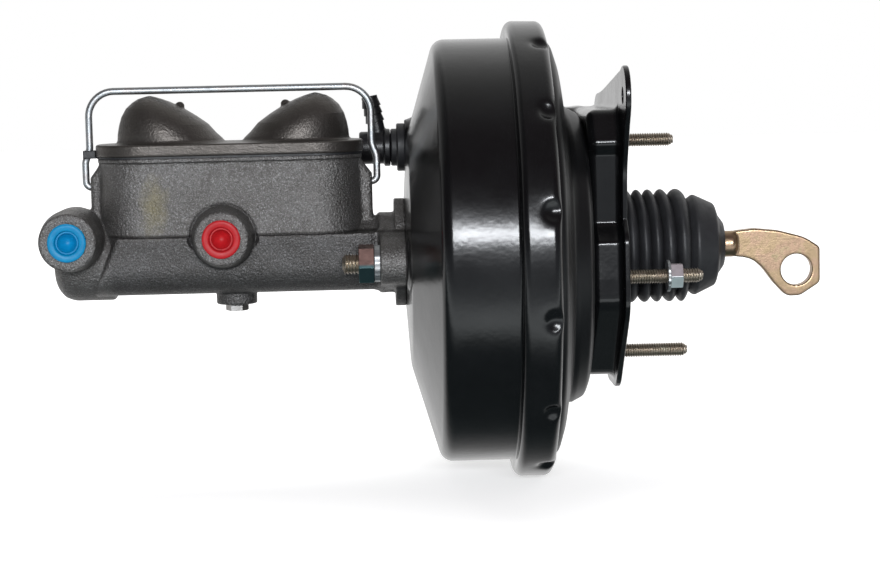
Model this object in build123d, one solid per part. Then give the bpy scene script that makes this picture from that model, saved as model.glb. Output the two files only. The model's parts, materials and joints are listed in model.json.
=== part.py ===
from build123d import *
import os
from math import cos, radians, sin, sqrt

# Vacuum brake booster with its tandem master cylinder, in millimetres.
# +X runs along the booster's axis towards the pedal, +Z is up, and the origin is on the axis
# at the rear face of the firewall bracket. The outlet ports of the master cylinder face -Y.

# ---- Fits and clearances ----
running_gap = 0.06
seat_gap = 0.05
soft_gap = 0.3

# ---- Booster shells ----
sheet = 1.8
drum_radius = 117.5
drum_length = 35.8
cone_depth = 18.4
face_depth = 3.3
face_flat_radius = 31.0
face_knee_radius = 61.0
shoulder_bend = 8.0
rim_height = 9.3
rim_width = 20.3
rim_bend = 4.5
rim_lip_width = 9.0
dish_depth = 8.0
dish_gap = 2.4
dish_edge_width = 8.4
rear_step = 4.7
rear_lip = 3.2
plateau_radius = 79.0
plateau_height = 8.5
hub_radius = 28.0
hub_height = 11.0
hub_bore = 21.4
clamp_depth = 10.0
dent_count = 14
dent_radius = 5.2
pilot_hole_radius = 18.6

# ---- Firewall bracket ----
bracket_depth = 20.5
plate_thickness = 3.0
wall_thickness = 2.6
lip_width = 7.0
far_lobe_reach = 34.0
far_lobe_depth = 7.0
boot_hole_radius = 35.5
stud_near = (-41.0, -13.5)
stud_far = (74.0, 57.0)
stud_low = (25.0, -62.0)
ear_hole = (-60.0, 85.0)
ear_hole_radius = 4.3
ear_radius = 15.0
far_corner = (74.0, 67.5)
far_corner_radius = 16.0
waist = (-36.0, 42.0)
waist_radius = 12.0
box_corners = [
    (-38.0, 77.5, 7.0),
    (-49.0, 57.0, 8.0),
    (-34.5, 18.0, 8.0),
    (-53.0, -12.0, 8.0),
    (-53.0, -29.0, 12.0),
    (-2.0, -72.5, 16.0),
    (41.0, -72.5, 12.0),
    (46.0, -30.0, 30.0),
    (48.0, 22.0, 14.0),
    (86.0, 38.0, 12.0),
    (90.0, 77.5, 12.0),
]

# ---- Firewall studs ----
stud_radius = 3.97
stud_knurl_radius = 4.4
stud_relief_radius = 3.4
stud_relief_length = 0.9
stud_reach = 41.5
stud_tip = 2.6
stud_collar_radius = 5.9
stud_collar_height = 2.2
stud_head_radius = 7.5
stud_head_height = 3.0
firewall_nut_flats = 12.7
firewall_nut_height = 6.8
firewall_nut_place = 23.5
firewall_washer_radius = 8.6
firewall_washer_height = 1.6

# ---- Booster's own studs, which hold the bracket ----
shell_stud_circle = 45.0
shell_stud_angles = [45, 114, 225, 315]
shell_nut_flats = 12.7
shell_nut_height = 6.5
shell_stud_reach = 13.0

# ---- Master cylinder casting ----
flange_radius = 30.0
flange_thickness = 5.8
ear_thickness = 14.2
ear_pitch = 84.0
ear_lean = 3.8
ear_end_radius = 11.5
ear_root_radius = 22.2
barrel_radius = 20.6
pilot_radius = 17.2
pilot_length = 12.0
nose_radius = 22.9
nose_length = 33.0
nose_bend = 9.0
casting_length = 194.0
bore_radius = 12.7
bore_end_wall = 10.5
body_half_width = 30.6
body_top = 13.0
body_bend = 17.0
body_slant = 13.5
body_corner = 8.0
body_front_inset = 2.5
tub_gap = 24.0
tub_length = 143.5
tub_half_width = 29.2
tub_corner = 25.0
tub_inner_corner = 19.0
tub_top = 56.0
tub_wall = 4.6
tub_floor = 17.0
tub_divider = 5.0
lip_height = 2.2
lip_overhang = 1.0
rib_width = 15.0
rib_out_rear = 6.6
rib_out_front = 5.6
rib_top = 51.0
port_radius = 5.6
front_port_inset = 11.8
rear_port_shift = -3.8
port_z = 12.6
port_face = 46.0
front_boss_radius = 16.4
rear_boss_radius = 15.2
rear_boss_foot = 16.8
boss_foot_height = 7.0
boss_scoop_radius = 20.0
boss_scoop_depth = 1.8
stop_shift = 1.3
stop_boss_radius = 11.3
stop_boss_bottom = 26.6
stop_flats = 11.1
stop_head_height = 3.8
stop_tip_radius = 2.5
stop_tip_inside = 1.3
feed_hole_radius = 2.0

# ---- Cover, gasket and bail ----
gasket_thickness = 1.0
pocket_depth = 12.0
cover_overhang = 2.0
cover_height = 6.6
cover_corner = 27.0
dome_length = 60.0
dome_width = 53.0
dome_height = 26.6
dome_front_gap = 9.6
dome_rear_gap = 5.5
dome_steps = [
    (0.0, 0.0, 0.0),
    (0.12, 0.1, 2.0),
    (0.235, 0.3, 5.4),
    (0.405, 1.2, 9.5),
    (0.575, 2.6, 16.0),
    (0.745, 5.3, 23.6),
    (0.865, 9.0, 30.4),
    (0.93, 12.0, 35.2),
]
dome_crown = 18.3
nub_radius = 2.6
nub_rise = 20.2
nub_inset = 25.0
bail_radius = 2.0
bail_pivot_z = 40.0
bail_bend = 11.5
bail_kink = 2.6
bail_kink_low = 54.0
bail_kink_high = 61.0
bail_front_gap = 1.9
bail_rear_gap = 2.8
bail_hook = 8.6
tab_reach = 3.4
tab_width = 7.0
tab_rise = 4.2

# ---- Master cylinder fasteners ----
mc_stud_radius = 5.55
mc_stud_reach = 20.6
mc_stud_head = 3.0
mc_nut_flats = 19.0
mc_nut_height = 8.4
mc_washer_radius = 10.0
mc_washer_height = 3.4
backing_plate_thickness = 3.0
backing_plate_radius = 28.6

# ---- Port plugs ----
plug_flange_radius = 10.4
plug_flange_height = 2.6
plug_recess_radius = 6.2
plug_stem_radius = 5.4
plug_stem_length = 8.0
plug_wall = 1.4
tube_seat_length = 5.0

# ---- Vacuum check valve ----
valve_y = 34.0
valve_z = 57.3
valve_radius = 9.25
valve_reach = 26.5
valve_seat_rise = 1.8
valve_seat_radius = 16.2
valve_stem_radius = 5.5
grommet_radius = 13.6
grommet_height = 8.0
grommet_neck = 7.6
nipple_radius = 4.6
nipple_barb = 5.5
nipple_length = 30.0
nipple_lean = 12.0
nipple_place = 13.1

# ---- Power piston ----
tube_radius = 19.5
tube_wall = 3.0
tube_end = 41.0
hub_front = -56.0
hub_face_radius = 30.0
plate_rim_gap = 11.0
plate_sheet = 1.6
plate_x = -46.0
diaphragm_thickness = 2.0
disc_radius = 13.0
disc_thickness = 6.0
output_rod_radius = 4.8
output_rod_flange = 12.6
output_flange_height = 5.0
filter_start = 29.0
filter_length = 9.0
filter_hole = 10.4
return_spring_radius = 27.5
return_wire = 1.9
return_turns = 5.0

# ---- Valve plunger and pushrod ----
plunger_radius = 8.5
plunger_neck = 3.6
key_x = -26.0
key_thickness = 2.4
key_height = 12.0
ball_x = -4.0
ball_radius = 5.0
neck_radius = 4.4
rod_radius = 7.35
rod_collar_radius = 11.6
rod_collar_x = 24.0
rod_collar_height = 3.0
eye_thickness = 8.0
eye_hole_radius = 8.8
eye_x = 100.0
eye_drop = 15.2
eye_end = 13.3
neck_end = 68.0

# ---- Dust boot ----
boot_peak = 31.6
boot_valley = 25.8
boot_wall = 1.8
boot_folds = 7
boot_end = 38.0
collar_bulge = 28.4
collar_length = 20.8
collar_mouth = 9.9

# ---- Hydraulic pistons ----
primary_length = 52.0
secondary_length = 51.3
rod_socket_depth = 22.0
snap_groove_inset = 2.6
snap_groove_width = 1.4
snap_ring_width = 1.2
piston_land = 8.0
piston_waist = 9.0
spring_wire = 1.1

# ---- Radii and places along the axis that follow from the sizes above ----
rim_radius = drum_radius + rim_height
rim_lip_radius = rim_radius - rim_lip_width
dish_edge_radius = rim_lip_radius - dish_gap
dish_knee_radius = dish_edge_radius - dish_edge_width
plate_radius = dish_knee_radius - plate_rim_gap
plateau_x = -bracket_depth
dish_x = plateau_x - plateau_height
rim_back_x = dish_x - dish_depth - rear_step
rim_front_x = rim_back_x - rim_width
shoulder_x = rim_front_x - drum_length
face_x = shoulder_x - cone_depth - face_depth
clamp_x = rim_back_x - clamp_depth
hub_end_x = plateau_x + hub_height
flange_x = face_x - flange_thickness
ear_x = face_x - ear_thickness
nose_x = face_x - casting_length
bore_end_x = nose_x + bore_end_wall
tub_rear_x = face_x - tub_gap
tub_front_x = tub_rear_x - tub_length
tub_mid_x = (tub_front_x + tub_rear_x) / 2
pilot_end_x = face_x + pilot_length
valve_seat_x = face_x + valve_seat_rise
cover_base = tub_top + gasket_thickness
cover_top = cover_base + cover_height
front_port_x = nose_x + front_port_inset
rear_port_x = tub_mid_x + rear_port_shift
stop_x = tub_mid_x + stop_shift
bail_front_x = tub_front_x - cover_overhang - bail_front_gap - bail_radius
bail_rear_x = tub_rear_x + cover_overhang + bail_rear_gap + bail_radius
bail_height = cover_top + dome_height + soft_gap + bail_radius
snap_groove_x = pilot_end_x - snap_groove_inset - snap_groove_width
primary_rear = snap_groove_x - soft_gap
primary_front = primary_rear - primary_length
secondary_rear = stop_x - stop_tip_radius - soft_gap
secondary_front = secondary_rear - secondary_length


# ---- Helpers ----
def turned(points):
    """A body turned about the X axis from (x, radius) points."""
    return revolve(make_face(Plane.XY * Polyline(*points, close=True)), Axis.X)


def pressed(points, bends, thickness=sheet):
    """Sheet pressed round the X axis: its middle line is the (x, radius) points."""
    return revolve(trace(FilletPolyline(*points, radius=bends), thickness), Axis.X)


def rod_x(radius, start, end, y=0.0, z=0.0):
    """A round bar along X."""
    bar = Cylinder(radius, abs(end - start), rotation=(0, 90, 0))
    return Pos((start + end) / 2, y, z) * bar


def ring_x(outer, inner, start, end, y=0.0, z=0.0):
    """A round sleeve along X."""
    return rod_x(outer, start, end, y, z) - rod_x(inner, start - 1, end + 1, y, z)


def bar_y(radius, x, z, start, end):
    """A round bar along Y."""
    bar = Cylinder(radius, abs(end - start), rotation=(90, 0, 0))
    return Pos(x, (start + end) / 2, z) * bar


def hexagon_x(flats, start, end, y, z, turn=0.0):
    """A six-sided bar along X with chamfered corners at its ends."""
    profile = RegularPolygon(flats / 2, 6, major_radius=False, rotation=turn)
    prism = extrude(Plane.YZ.offset(start) * (Pos(y, z) * profile), end - start)
    crown = Pos((start + end) / 2, y, z) * chamfer(
        Cylinder(flats * 0.577, abs(end - start), rotation=(0, 90, 0)).edges(), flats * 0.05
    )
    return prism & crown


def sheet_x(outline, start, end):
    """An outline in the Y-Z plane given thickness along X."""
    return extrude(Plane.YZ.offset(start) * outline, end - start)


def disc(place, radius):
    """A round outline at a (y, z) place."""
    return Pos(*place) * Circle(radius)


def ear_place(side):
    """Where a mounting stud of the master cylinder sits, as (y, z): side -1 is the port side."""
    half = ear_pitch / 2 * side
    return (half * cos(radians(ear_lean)), half * sin(radians(ear_lean)))


def ear_outline(root_radius, end_radius):
    """The long outline round the axis and the two mounting studs."""
    ends = disc(ear_place(-1), end_radius).edges() + disc(ear_place(1), end_radius).edges()
    return make_face(make_hull(ends + Circle(root_radius).edges()))


def coil(mean_radius, wire, start, end, turns):
    """A compression spring along X with a six-sided wire section."""
    length = end - start - 2 * wire
    helix = Helix(length / turns, length, mean_radius)
    section = Plane(helix @ 0, z_dir=helix % 0) * RegularPolygon(wire, 6)
    spring = sweep(section, helix, is_frenet=True)
    return Pos(start + wire, 0, 0) * Rot(0, 90, 0) * spring


def around(count, first=0.0):
    """Evenly spaced angles of a full turn."""
    return [first + 360 * n / count for n in range(count)]


# ---- Booster shells ----
def around_rim(body):
    """Copies of a body at the dents of the rim."""
    place = Pos(rim_back_x - dent_radius * 0.45, 0, rim_radius + dent_radius * 0.25)
    return [Rot(angle, 0, 0) * place * body for angle in around(dent_count)]


def front_shell():
    """The deep front shell: nose face, cone, drum and the staked rim."""
    half = sheet / 2
    line = [
        (face_x + half, pilot_hole_radius),
        (face_x + half, face_flat_radius),
        (face_x + face_depth + half, face_knee_radius),
        (shoulder_x + half, drum_radius - half),
        (rim_front_x + half, drum_radius - half),
        (rim_front_x + half, rim_radius - half),
        (rim_back_x - half, rim_radius - half),
        (rim_back_x - half, rim_lip_radius),
    ]
    bends = [6.0, 24.0, shoulder_bend, 2.4, rim_bend - half, rim_bend - half]
    shell = pressed(line, bends)
    rim_space = turned(
        [
            (rim_back_x - clamp_depth, rim_lip_radius),
            (rim_back_x, rim_lip_radius),
            (rim_back_x, rim_radius),
            (rim_back_x - clamp_depth, rim_radius),
        ]
    )
    cup = Sphere(dent_radius) - Sphere(dent_radius - sheet * 0.75)
    shell = shell - around_rim(Sphere(dent_radius))
    shell = shell + [dent & rim_space for dent in around_rim(cup)]
    pad = ear_outline(flange_radius + 1, ear_end_radius + 3)
    shell = shell + sheet_x(pad, face_x, face_x + face_depth)
    pocket = ear_outline(flange_radius + 1 - sheet, ear_end_radius + 3 - sheet)
    shell = shell - sheet_x(pocket, face_x + sheet, face_x + face_depth + 2 * sheet)
    shell = shell - rod_x(pilot_hole_radius, face_x - 1, face_x + face_depth + 1)
    for side in (-1, 1):
        shell = shell - rod_x(mc_stud_radius + 0.25, face_x - 1, face_x + 12, *ear_place(side))
    place = (valve_y, valve_z)
    shell = shell + rod_x(valve_seat_radius, valve_seat_x, valve_seat_x + 7, *place)
    shell = shell - rod_x(valve_seat_radius - sheet, valve_seat_x + sheet, valve_seat_x + 14, *place)
    return shell - rod_x(grommet_neck, valve_seat_x - 1, valve_seat_x + 3, *place)


def rear_shell():
    """The shallow rear shell: clamped flange, dish, raised plateau and hub for the seal."""
    half = sheet / 2
    line = [
        (clamp_x, rim_radius - sheet - 1.2),
        (clamp_x, dish_edge_radius),
        (dish_x - dish_depth - half, dish_edge_radius),
        (dish_x - dish_depth + rear_lip - half, dish_knee_radius),
        (dish_x - half, plateau_radius + 2),
        (plateau_x - half, plateau_radius - 2),
        (plateau_x - half, hub_radius - half),
        (hub_end_x - half, hub_radius - half),
        (hub_end_x - half, hub_bore),
    ]
    bends = [1.8, 4.0, 12.0, 4.0, 8.0, 1.8, 1.8]
    shell = pressed(line, bends)
    for angle in shell_stud_angles:
        hole = rod_x(stud_radius, plateau_x - 4, plateau_x + 1, shell_stud_circle)
        shell = shell - Rot(angle, 0, 0) * hole
    return shell


# ---- Firewall bracket ----
def wall_outline():
    """Outline of the bracket's drawn box in the Y-Z plane."""
    points = [(y, z) for y, z, radius in box_corners]
    radii = [radius for y, z, radius in box_corners]
    return make_face(FilletPolyline(*points, radius=radii, close=True))


def bracket_outline():
    """Outline of the firewall plate: the box's free lip, the ear and the far corner."""
    outline = offset(wall_outline(), lip_width)
    top = make_hull(disc(ear_hole, ear_radius).edges() + disc(far_corner, far_corner_radius).edges())
    side = make_hull(disc(ear_hole, ear_radius).edges() + disc(waist, waist_radius).edges())
    return outline + make_face(top) + make_face(side)


def firewall_bracket():
    """Box bracket between the rear shell and the firewall, with its flat firewall plate."""
    box = sheet_x(wall_outline(), plateau_x, -plate_thickness / 2)
    box = fillet(box.faces().sort_by(Axis.X)[0].edges(), wall_thickness + 2.4)
    inside = offset(wall_outline(), -wall_thickness)
    box = box - sheet_x(inside, plateau_x + wall_thickness, 1)
    deep = (wall_outline() & disc(stud_far, far_lobe_reach)) - Circle(plateau_radius + 3)
    deep_box = sheet_x(deep, plateau_x - far_lobe_depth, plateau_x + wall_thickness + 2)
    body = box + deep_box + sheet_x(bracket_outline(), -plate_thickness, 0)
    body = body - rod_x(boot_hole_radius, plateau_x - 10, 1)
    for place in (stud_near, stud_low):
        body = body - rod_x(stud_knurl_radius + seat_gap, -plate_thickness - 1, 1, *place)
    body = body - rod_x(stud_collar_radius + seat_gap, -plate_thickness - 1, 1, *stud_far)
    body = body - rod_x(ear_hole_radius, -plate_thickness - 1, 1, *ear_hole)
    for angle in shell_stud_angles:
        body = body - Rot(angle, 0, 0) * rod_x(
            stud_radius + 0.3, plateau_x - 1, plateau_x + wall_thickness + 1, shell_stud_circle
        )
    return body


def firewall_stud(place, shoulder):
    """One stud: head in front of the plate, knurled neck up to its shoulder, thread and pointed tip."""
    profile = [
        (-plate_thickness - stud_head_height, 0),
        (-plate_thickness - stud_head_height, stud_head_radius),
        (-plate_thickness, stud_head_radius),
        (-plate_thickness, stud_knurl_radius),
        (shoulder, stud_knurl_radius),
        (shoulder, stud_relief_radius),
        (shoulder + stud_relief_length, stud_relief_radius),
        (shoulder + stud_relief_length, stud_radius),
        (stud_reach - stud_tip, stud_radius),
        (stud_reach, stud_radius * 0.55),
        (stud_reach, 0),
    ]
    return Pos(0, *place) * turned(profile)


def firewall_studs():
    return [
        firewall_stud(stud_near, 0),
        firewall_stud(stud_far, stud_collar_height),
        firewall_stud(stud_low, 0),
    ]


def stud_collar():
    """The collar round the far stud's neck, which fills the plate's hole and stands proud of it."""
    hole = stud_knurl_radius + seat_gap
    return ring_x(stud_collar_radius, hole, -plate_thickness, stud_collar_height, *stud_far)


def firewall_nut():
    nut = hexagon_x(
        firewall_nut_flats, firewall_nut_place, firewall_nut_place + firewall_nut_height, *stud_near, 18
    )
    return nut - rod_x(stud_radius + seat_gap, 0, stud_reach, *stud_near)


def firewall_washer():
    start = firewall_nut_place - firewall_washer_height
    return ring_x(firewall_washer_radius, stud_radius + 0.3, start, firewall_nut_place, *stud_near)


def shell_studs():
    """The rear shell's own studs, which carry the bracket."""
    base = plateau_x - sheet
    stud = rod_x(stud_radius - seat_gap, base, plateau_x + shell_stud_reach, shell_stud_circle)
    stud = stud + rod_x(stud_head_radius, base - stud_head_height, base, shell_stud_circle)
    return [Rot(angle, 0, 0) * stud for angle in shell_stud_angles]


def shell_stud_nuts():
    start = plateau_x + wall_thickness
    nut = hexagon_x(shell_nut_flats, start, start + shell_nut_height, shell_stud_circle, 0)
    nut = nut - rod_x(stud_radius, start - 1, start + 20, shell_stud_circle)
    return [Rot(angle, 0, 0) * nut for angle in shell_stud_angles]


# ---- Master cylinder casting ----
def tub_plan(half_width, front, rear, corner, height):
    """Rounded plan outline of the reservoir at a height."""
    plan = RectangleRounded(rear - front, 2 * half_width, corner)
    return Plane.XY.offset(height) * (Pos((front + rear) / 2, 0) * plan)


def outlet_boss(x, face_radius, foot_radius):
    """A round outlet boss on the port side, on a wider foot."""
    boss = bar_y(face_radius, x, port_z, -port_face, 0)
    cone = Cone(foot_radius, face_radius, boss_foot_height, rotation=(90, 0, 0))
    foot_y = -body_half_width - boss_foot_height / 2
    return boss + Pos(x, foot_y, port_z) * cone + bar_y(foot_radius, x, port_z, -body_half_width, 0)


def pivot_rib(wall_x, out, front):
    """The cast rib on an end wall that carries the bail's hook."""
    sign = -1 if front else 1
    outer = wall_x + sign * out
    inner = wall_x - sign * 2.0
    points = [
        (inner, rib_top + 2),
        (wall_x, rib_top + 2),
        (outer, rib_top - out),
        (outer, body_top - 6),
        (inner, body_top - 6),
    ]
    rib = extrude(Plane.XZ * make_face(Polyline(*points, close=True)), rib_width / 2, both=True)
    tall = rib.edges().filter_by(Axis.Z).sort_by(Axis.X)
    return fillet(tall[:2] if front else tall[-2:], 3.0)


def lower_body():
    """The wide lower half of the casting, round below, with its front end cut on a slant."""
    front = nose_x + nose_length + body_front_inset
    side = Polyline(
        (front, body_top),
        (ear_x, body_top),
        (ear_x, -barrel_radius),
        (front - body_slant, -barrel_radius),
        close=True,
    )
    body = extrude(Plane.XZ * make_face(side), body_half_width, both=True)
    body = fillet(body.edges().filter_by(Axis.X).sort_by(Axis.Z)[:2], body_bend)
    return fillet(body.edges().filter_by(Axis.Z), body_corner)


def boss_scoop():
    """The shallow hollow in the casting's side round the rear outlet boss."""
    outside = -body_half_width - 1
    return bar_y(boss_scoop_radius, rear_port_x, port_z, outside, boss_scoop_depth - tub_half_width)


def cylinder_body():
    """The cast body: barrel, nose, reservoir tub, flange with two ears and the outlet bosses."""
    barrel = rod_x(barrel_radius, nose_x + 5, face_x)
    nose = rod_x(nose_radius, nose_x, nose_x + nose_length)
    nose = fillet(nose.edges().sort_by(Axis.X)[0], nose_bend)
    tub_plan_low = tub_plan(tub_half_width, tub_front_x, tub_rear_x, tub_corner, body_top - 4)
    tub = extrude(tub_plan_low, tub_top - body_top + 4)
    lip = extrude(
        tub_plan(
            tub_half_width + lip_overhang,
            tub_front_x - lip_overhang,
            tub_rear_x + lip_overhang,
            tub_corner + lip_overhang,
            tub_top - lip_height,
        ),
        lip_height,
    )
    body = barrel + nose + lower_body() + tub + lip - boss_scoop()
    body = body + outlet_boss(front_port_x, front_boss_radius, front_boss_radius + 1)
    body = body + outlet_boss(rear_port_x, rear_boss_radius, rear_boss_foot)
    body = body + pivot_rib(tub_rear_x, rib_out_rear, False)
    body = body + pivot_rib(tub_front_x, rib_out_front, True)
    stop_boss = Pos(stop_x, 0, -stop_boss_bottom / 2) * Cylinder(stop_boss_radius, stop_boss_bottom)
    body = body + stop_boss + flange() + rod_x(pilot_radius, face_x, pilot_end_x)
    return hollowed(body)


def flange():
    """The round flange and the two thicker mounting ears."""
    ears = sheet_x(ear_outline(ear_root_radius, ear_end_radius), ear_x, face_x)
    return rod_x(flange_radius, flange_x, face_x) + ears


def tub_chamber(front, rear):
    """One fluid chamber of the reservoir."""
    plan = tub_plan(tub_half_width - tub_wall, front, rear, tub_inner_corner, tub_floor)
    return extrude(plan, tub_top - tub_floor + 1)


def hollowed(body):
    """Cuts the bore, the chambers, the ports, the feed holes and the stud and pivot holes."""
    body = body - rod_x(bore_radius, bore_end_x, pilot_end_x + 1)
    body = body - tub_chamber(tub_front_x + tub_wall, tub_mid_x - tub_divider / 2)
    body = body - tub_chamber(tub_mid_x + tub_divider / 2, tub_rear_x - tub_wall)
    for x in (front_port_x, rear_port_x):
        seat_end = -port_face + plug_stem_length + tube_seat_length
        body = body - bar_y(port_radius, x, port_z, -port_face - 1, seat_end)
        body = body - bar_y(feed_hole_radius, x, port_z - feed_hole_radius * 2, -port_face, 0)
    for x in (secondary_front + piston_land + 4, primary_front + piston_land + 4):
        feed = Pos(x, 0, tub_floor / 2) * Cylinder(feed_hole_radius, tub_floor + 2)
        body = body - feed
    for side in (-1, 1):
        body = body - rod_x(mc_stud_radius + 0.25, ear_x - 1, face_x + 1, *ear_place(side))
    for leg_x, side in ((bail_front_x, -1), (bail_rear_x, 1)):
        hook_end = leg_x + side * (bail_kink - bail_hook - 2 * soft_gap)
        outside = leg_x + side * 8
        body = body - rod_x(bail_radius + running_gap, hook_end, outside, 0, bail_pivot_z)
    stop_hole = Pos(stop_x, 0, -stop_boss_bottom / 2) * Cylinder(3.2, stop_boss_bottom + 2)
    groove = ring_x(bore_radius + 1.2, bore_radius - 1, snap_groove_x, snap_groove_x + snap_groove_width)
    return body - stop_hole - groove


def stop_screw():
    """Hexagon screw whose tip stops the secondary piston."""
    shank_top = -bore_radius + stop_tip_inside
    head_base = -stop_boss_bottom
    shank = Pos(stop_x, 0, (head_base - bore_radius) / 2) * Cylinder(3.15, -bore_radius - head_base)
    tip_middle = (shank_top - bore_radius) / 2 - 1
    tip = Pos(stop_x, 0, tip_middle) * Cylinder(stop_tip_radius, stop_tip_inside + 2)
    profile = Pos(stop_x, 0) * RegularPolygon(stop_flats / 2, 6, major_radius=False)
    head = extrude(Plane.XY.offset(head_base - stop_head_height) * profile, stop_head_height)
    return shank + tip + chamfer(head.faces().sort_by(Axis.Z)[0].edges(), 0.6)


def tube_seats():
    """Brass seats pressed into the bottom of the two outlets."""
    seats = []
    for x in (front_port_x, rear_port_x):
        start = -port_face + plug_stem_length
        seat = bar_y(port_radius - seat_gap, x, port_z, start + 0.4, start + tube_seat_length)
        seats.append(seat - bar_y(feed_hole_radius, x, port_z, start - 1, start + tube_seat_length + 1))
    return seats


def snap_ring():
    """Retains the primary piston; open at the bottom."""
    start = snap_groove_x + seat_gap
    ring = ring_x(bore_radius + 1.1, bore_radius - 1.4, start, start + snap_ring_width)
    return ring - Pos(start, 0, -bore_radius) * Box(4, 7, 8)


def front_seal():
    """Vacuum seal between the cylinder's pilot and the front shell."""
    return ring_x(pilot_hole_radius - seat_gap, pilot_radius + seat_gap, face_x + 0.1, face_x + sheet)


# ---- Cover, gasket and bail ----
def cover_plan(height, inset=0.0):
    """Plan outline of the cover at a height."""
    reach = cover_overhang - inset
    return tub_plan(
        tub_half_width + reach, tub_front_x - reach, tub_rear_x + reach, cover_corner - inset, height
    )


def gasket_tab():
    """Tab at the gasket's front end, with an upturned lip beside the bail's leg."""
    outer = bail_front_x - tab_reach
    inner = tub_front_x + tab_reach
    far = bail_radius + soft_gap + tab_width
    middle = bail_radius + soft_gap + tab_width / 2
    ledge = Pos((outer + inner) / 2, middle, tub_top + gasket_thickness / 2)
    ledge = ledge * Box(inner - outer, tab_width, gasket_thickness)
    lip = Pos(outer + gasket_thickness, far - tab_width / 2, tub_top + tab_rise / 2)
    return ledge + lip * Box(2 * gasket_thickness, tab_width, tab_rise)


def cover_gasket():
    """Rubber gasket with a bellows pocket over each chamber and a fork at each end."""
    sheet_part = extrude(cover_plan(tub_top, 0.5), gasket_thickness)
    half = tub_half_width - tub_wall - 1
    for front, rear in (
        (tub_front_x + tub_wall + 1, tub_mid_x - tub_divider / 2 - 1),
        (tub_mid_x + tub_divider / 2 + 1, tub_rear_x - tub_wall - 1),
    ):
        pocket = tub_plan(half, front, rear, tub_inner_corner - 1, tub_top - pocket_depth)
        floor = tub_top - pocket_depth + 2
        hollow = tub_plan(half - 2, front + 2, rear - 2, tub_inner_corner - 3, floor)
        sheet_part = sheet_part + extrude(pocket, pocket_depth) - extrude(hollow, 2 * pocket_depth)
    return sheet_part + gasket_tab()


def dome(side):
    """One domed chamber of the cover: steep at the cover's end, with a long slope to the middle."""
    steep = tub_front_x + dome_front_gap if side < 0 else tub_rear_x - dome_rear_gap
    profiles = []
    for level, steep_inset, slope_inset in dome_steps:
        half = (dome_length - steep_inset - slope_inset) / 2
        outline = Ellipse(half, dome_width / 2 * sqrt(1 - level**2.3))
        place = Pos(steep - side * (steep_inset + half), 0, cover_top - 1 + level * (dome_height + 1))
        profiles.append(place * outline)
    crown = Vertex(steep - side * dome_crown, 0, cover_top + dome_height)
    nub = Pos(steep - side * (dome_length - nub_inset), 0, cover_top + nub_rise) * Sphere(nub_radius)
    crest = Pos(steep, 0, cover_top + dome_height + 5) * Box(2 * dome_length, 2 * dome_width, 10)
    return loft(profiles + [crown]) - crest + nub


def reservoir_cover():
    """Cast cover with a flat rim and two leaning domes."""
    rim = extrude(cover_plan(cover_base), cover_height)
    rim = fillet(rim.faces().sort_by(Axis.Z)[-1].edges(), 1.2)
    return rim + dome(-1) + dome(1)


def bail_wire():
    """Wire bail: hooks in the casting's end ribs, legs up the ends and a top bar over the domes."""
    left = bail_front_x
    right = bail_rear_x
    path = FilletPolyline(
        (left - bail_kink + bail_hook, bail_pivot_z),
        (left - bail_kink, bail_pivot_z),
        (left - bail_kink, bail_kink_low),
        (left, bail_kink_high),
        (left, bail_height),
        (right, bail_height),
        (right, bail_kink_high),
        (right + bail_kink, bail_kink_low),
        (right + bail_kink, bail_pivot_z),
        (right + bail_kink - bail_hook, bail_pivot_z),
        radius=[3.2, 8.0, 8.0, bail_bend, bail_bend, 8.0, 8.0, 3.2],
    )
    path = Plane.XZ * path
    section = Plane(path @ 0, z_dir=path % 0) * Circle(bail_radius)
    return sweep(section, path)


# ---- Master cylinder fasteners ----
def mc_studs():
    """The two studs, pressed in the backing plate inside the front shell."""
    back = face_x + sheet + backing_plate_thickness
    studs = []
    for side in (-1, 1):
        shank = rod_x(mc_stud_radius, ear_x - mc_stud_reach, back, *ear_place(side))
        shank = chamfer(shank.edges().sort_by(Axis.X)[0], 0.9)
        studs.append(shank + rod_x(mc_stud_radius + 3, back, back + mc_stud_head, *ear_place(side)))
    return studs


def mc_washers():
    start = ear_x - mc_washer_height
    hole = mc_stud_radius + 0.2
    return [ring_x(mc_washer_radius, hole, start, ear_x, *ear_place(side)) for side in (-1, 1)]


def mc_nuts():
    nuts = []
    end = ear_x - mc_washer_height
    for side in (-1, 1):
        nut = hexagon_x(mc_nut_flats, end - mc_nut_height, end, *ear_place(side), 8)
        nuts.append(nut - rod_x(mc_stud_radius + seat_gap, end - 20, end + 1, *ear_place(side)))
    return nuts


def backing_plate():
    """Stiffening plate inside the front shell that carries the two studs."""
    start = face_x + sheet
    outline = ear_outline(backing_plate_radius, ear_end_radius)
    plate = sheet_x(outline, start, start + backing_plate_thickness)
    plate = plate - rod_x(pilot_hole_radius, start - 1, start + 10)
    for side in (-1, 1):
        plate = plate - rod_x(mc_stud_radius + 0.02, start - 1, start + 10, *ear_place(side))
    return plate


# ---- Port plugs ----
def port_plug(x):
    """A soft shipping plug with a stepped recess in its face."""
    face = -port_face - seat_gap
    flange_part = bar_y(plug_flange_radius, x, port_z, face - plug_flange_height, face)
    flange_part = fillet(flange_part.edges(), 0.7)
    stem = bar_y(plug_stem_radius, x, port_z, face - 1, face + plug_stem_length)
    recess = bar_y(plug_recess_radius, x, port_z, face - plug_flange_height - 1, face - 1.0)
    well = bar_y(plug_stem_radius - plug_wall, x, port_z, face - 4, face + plug_stem_length - plug_wall)
    return flange_part + stem - recess - well


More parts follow.
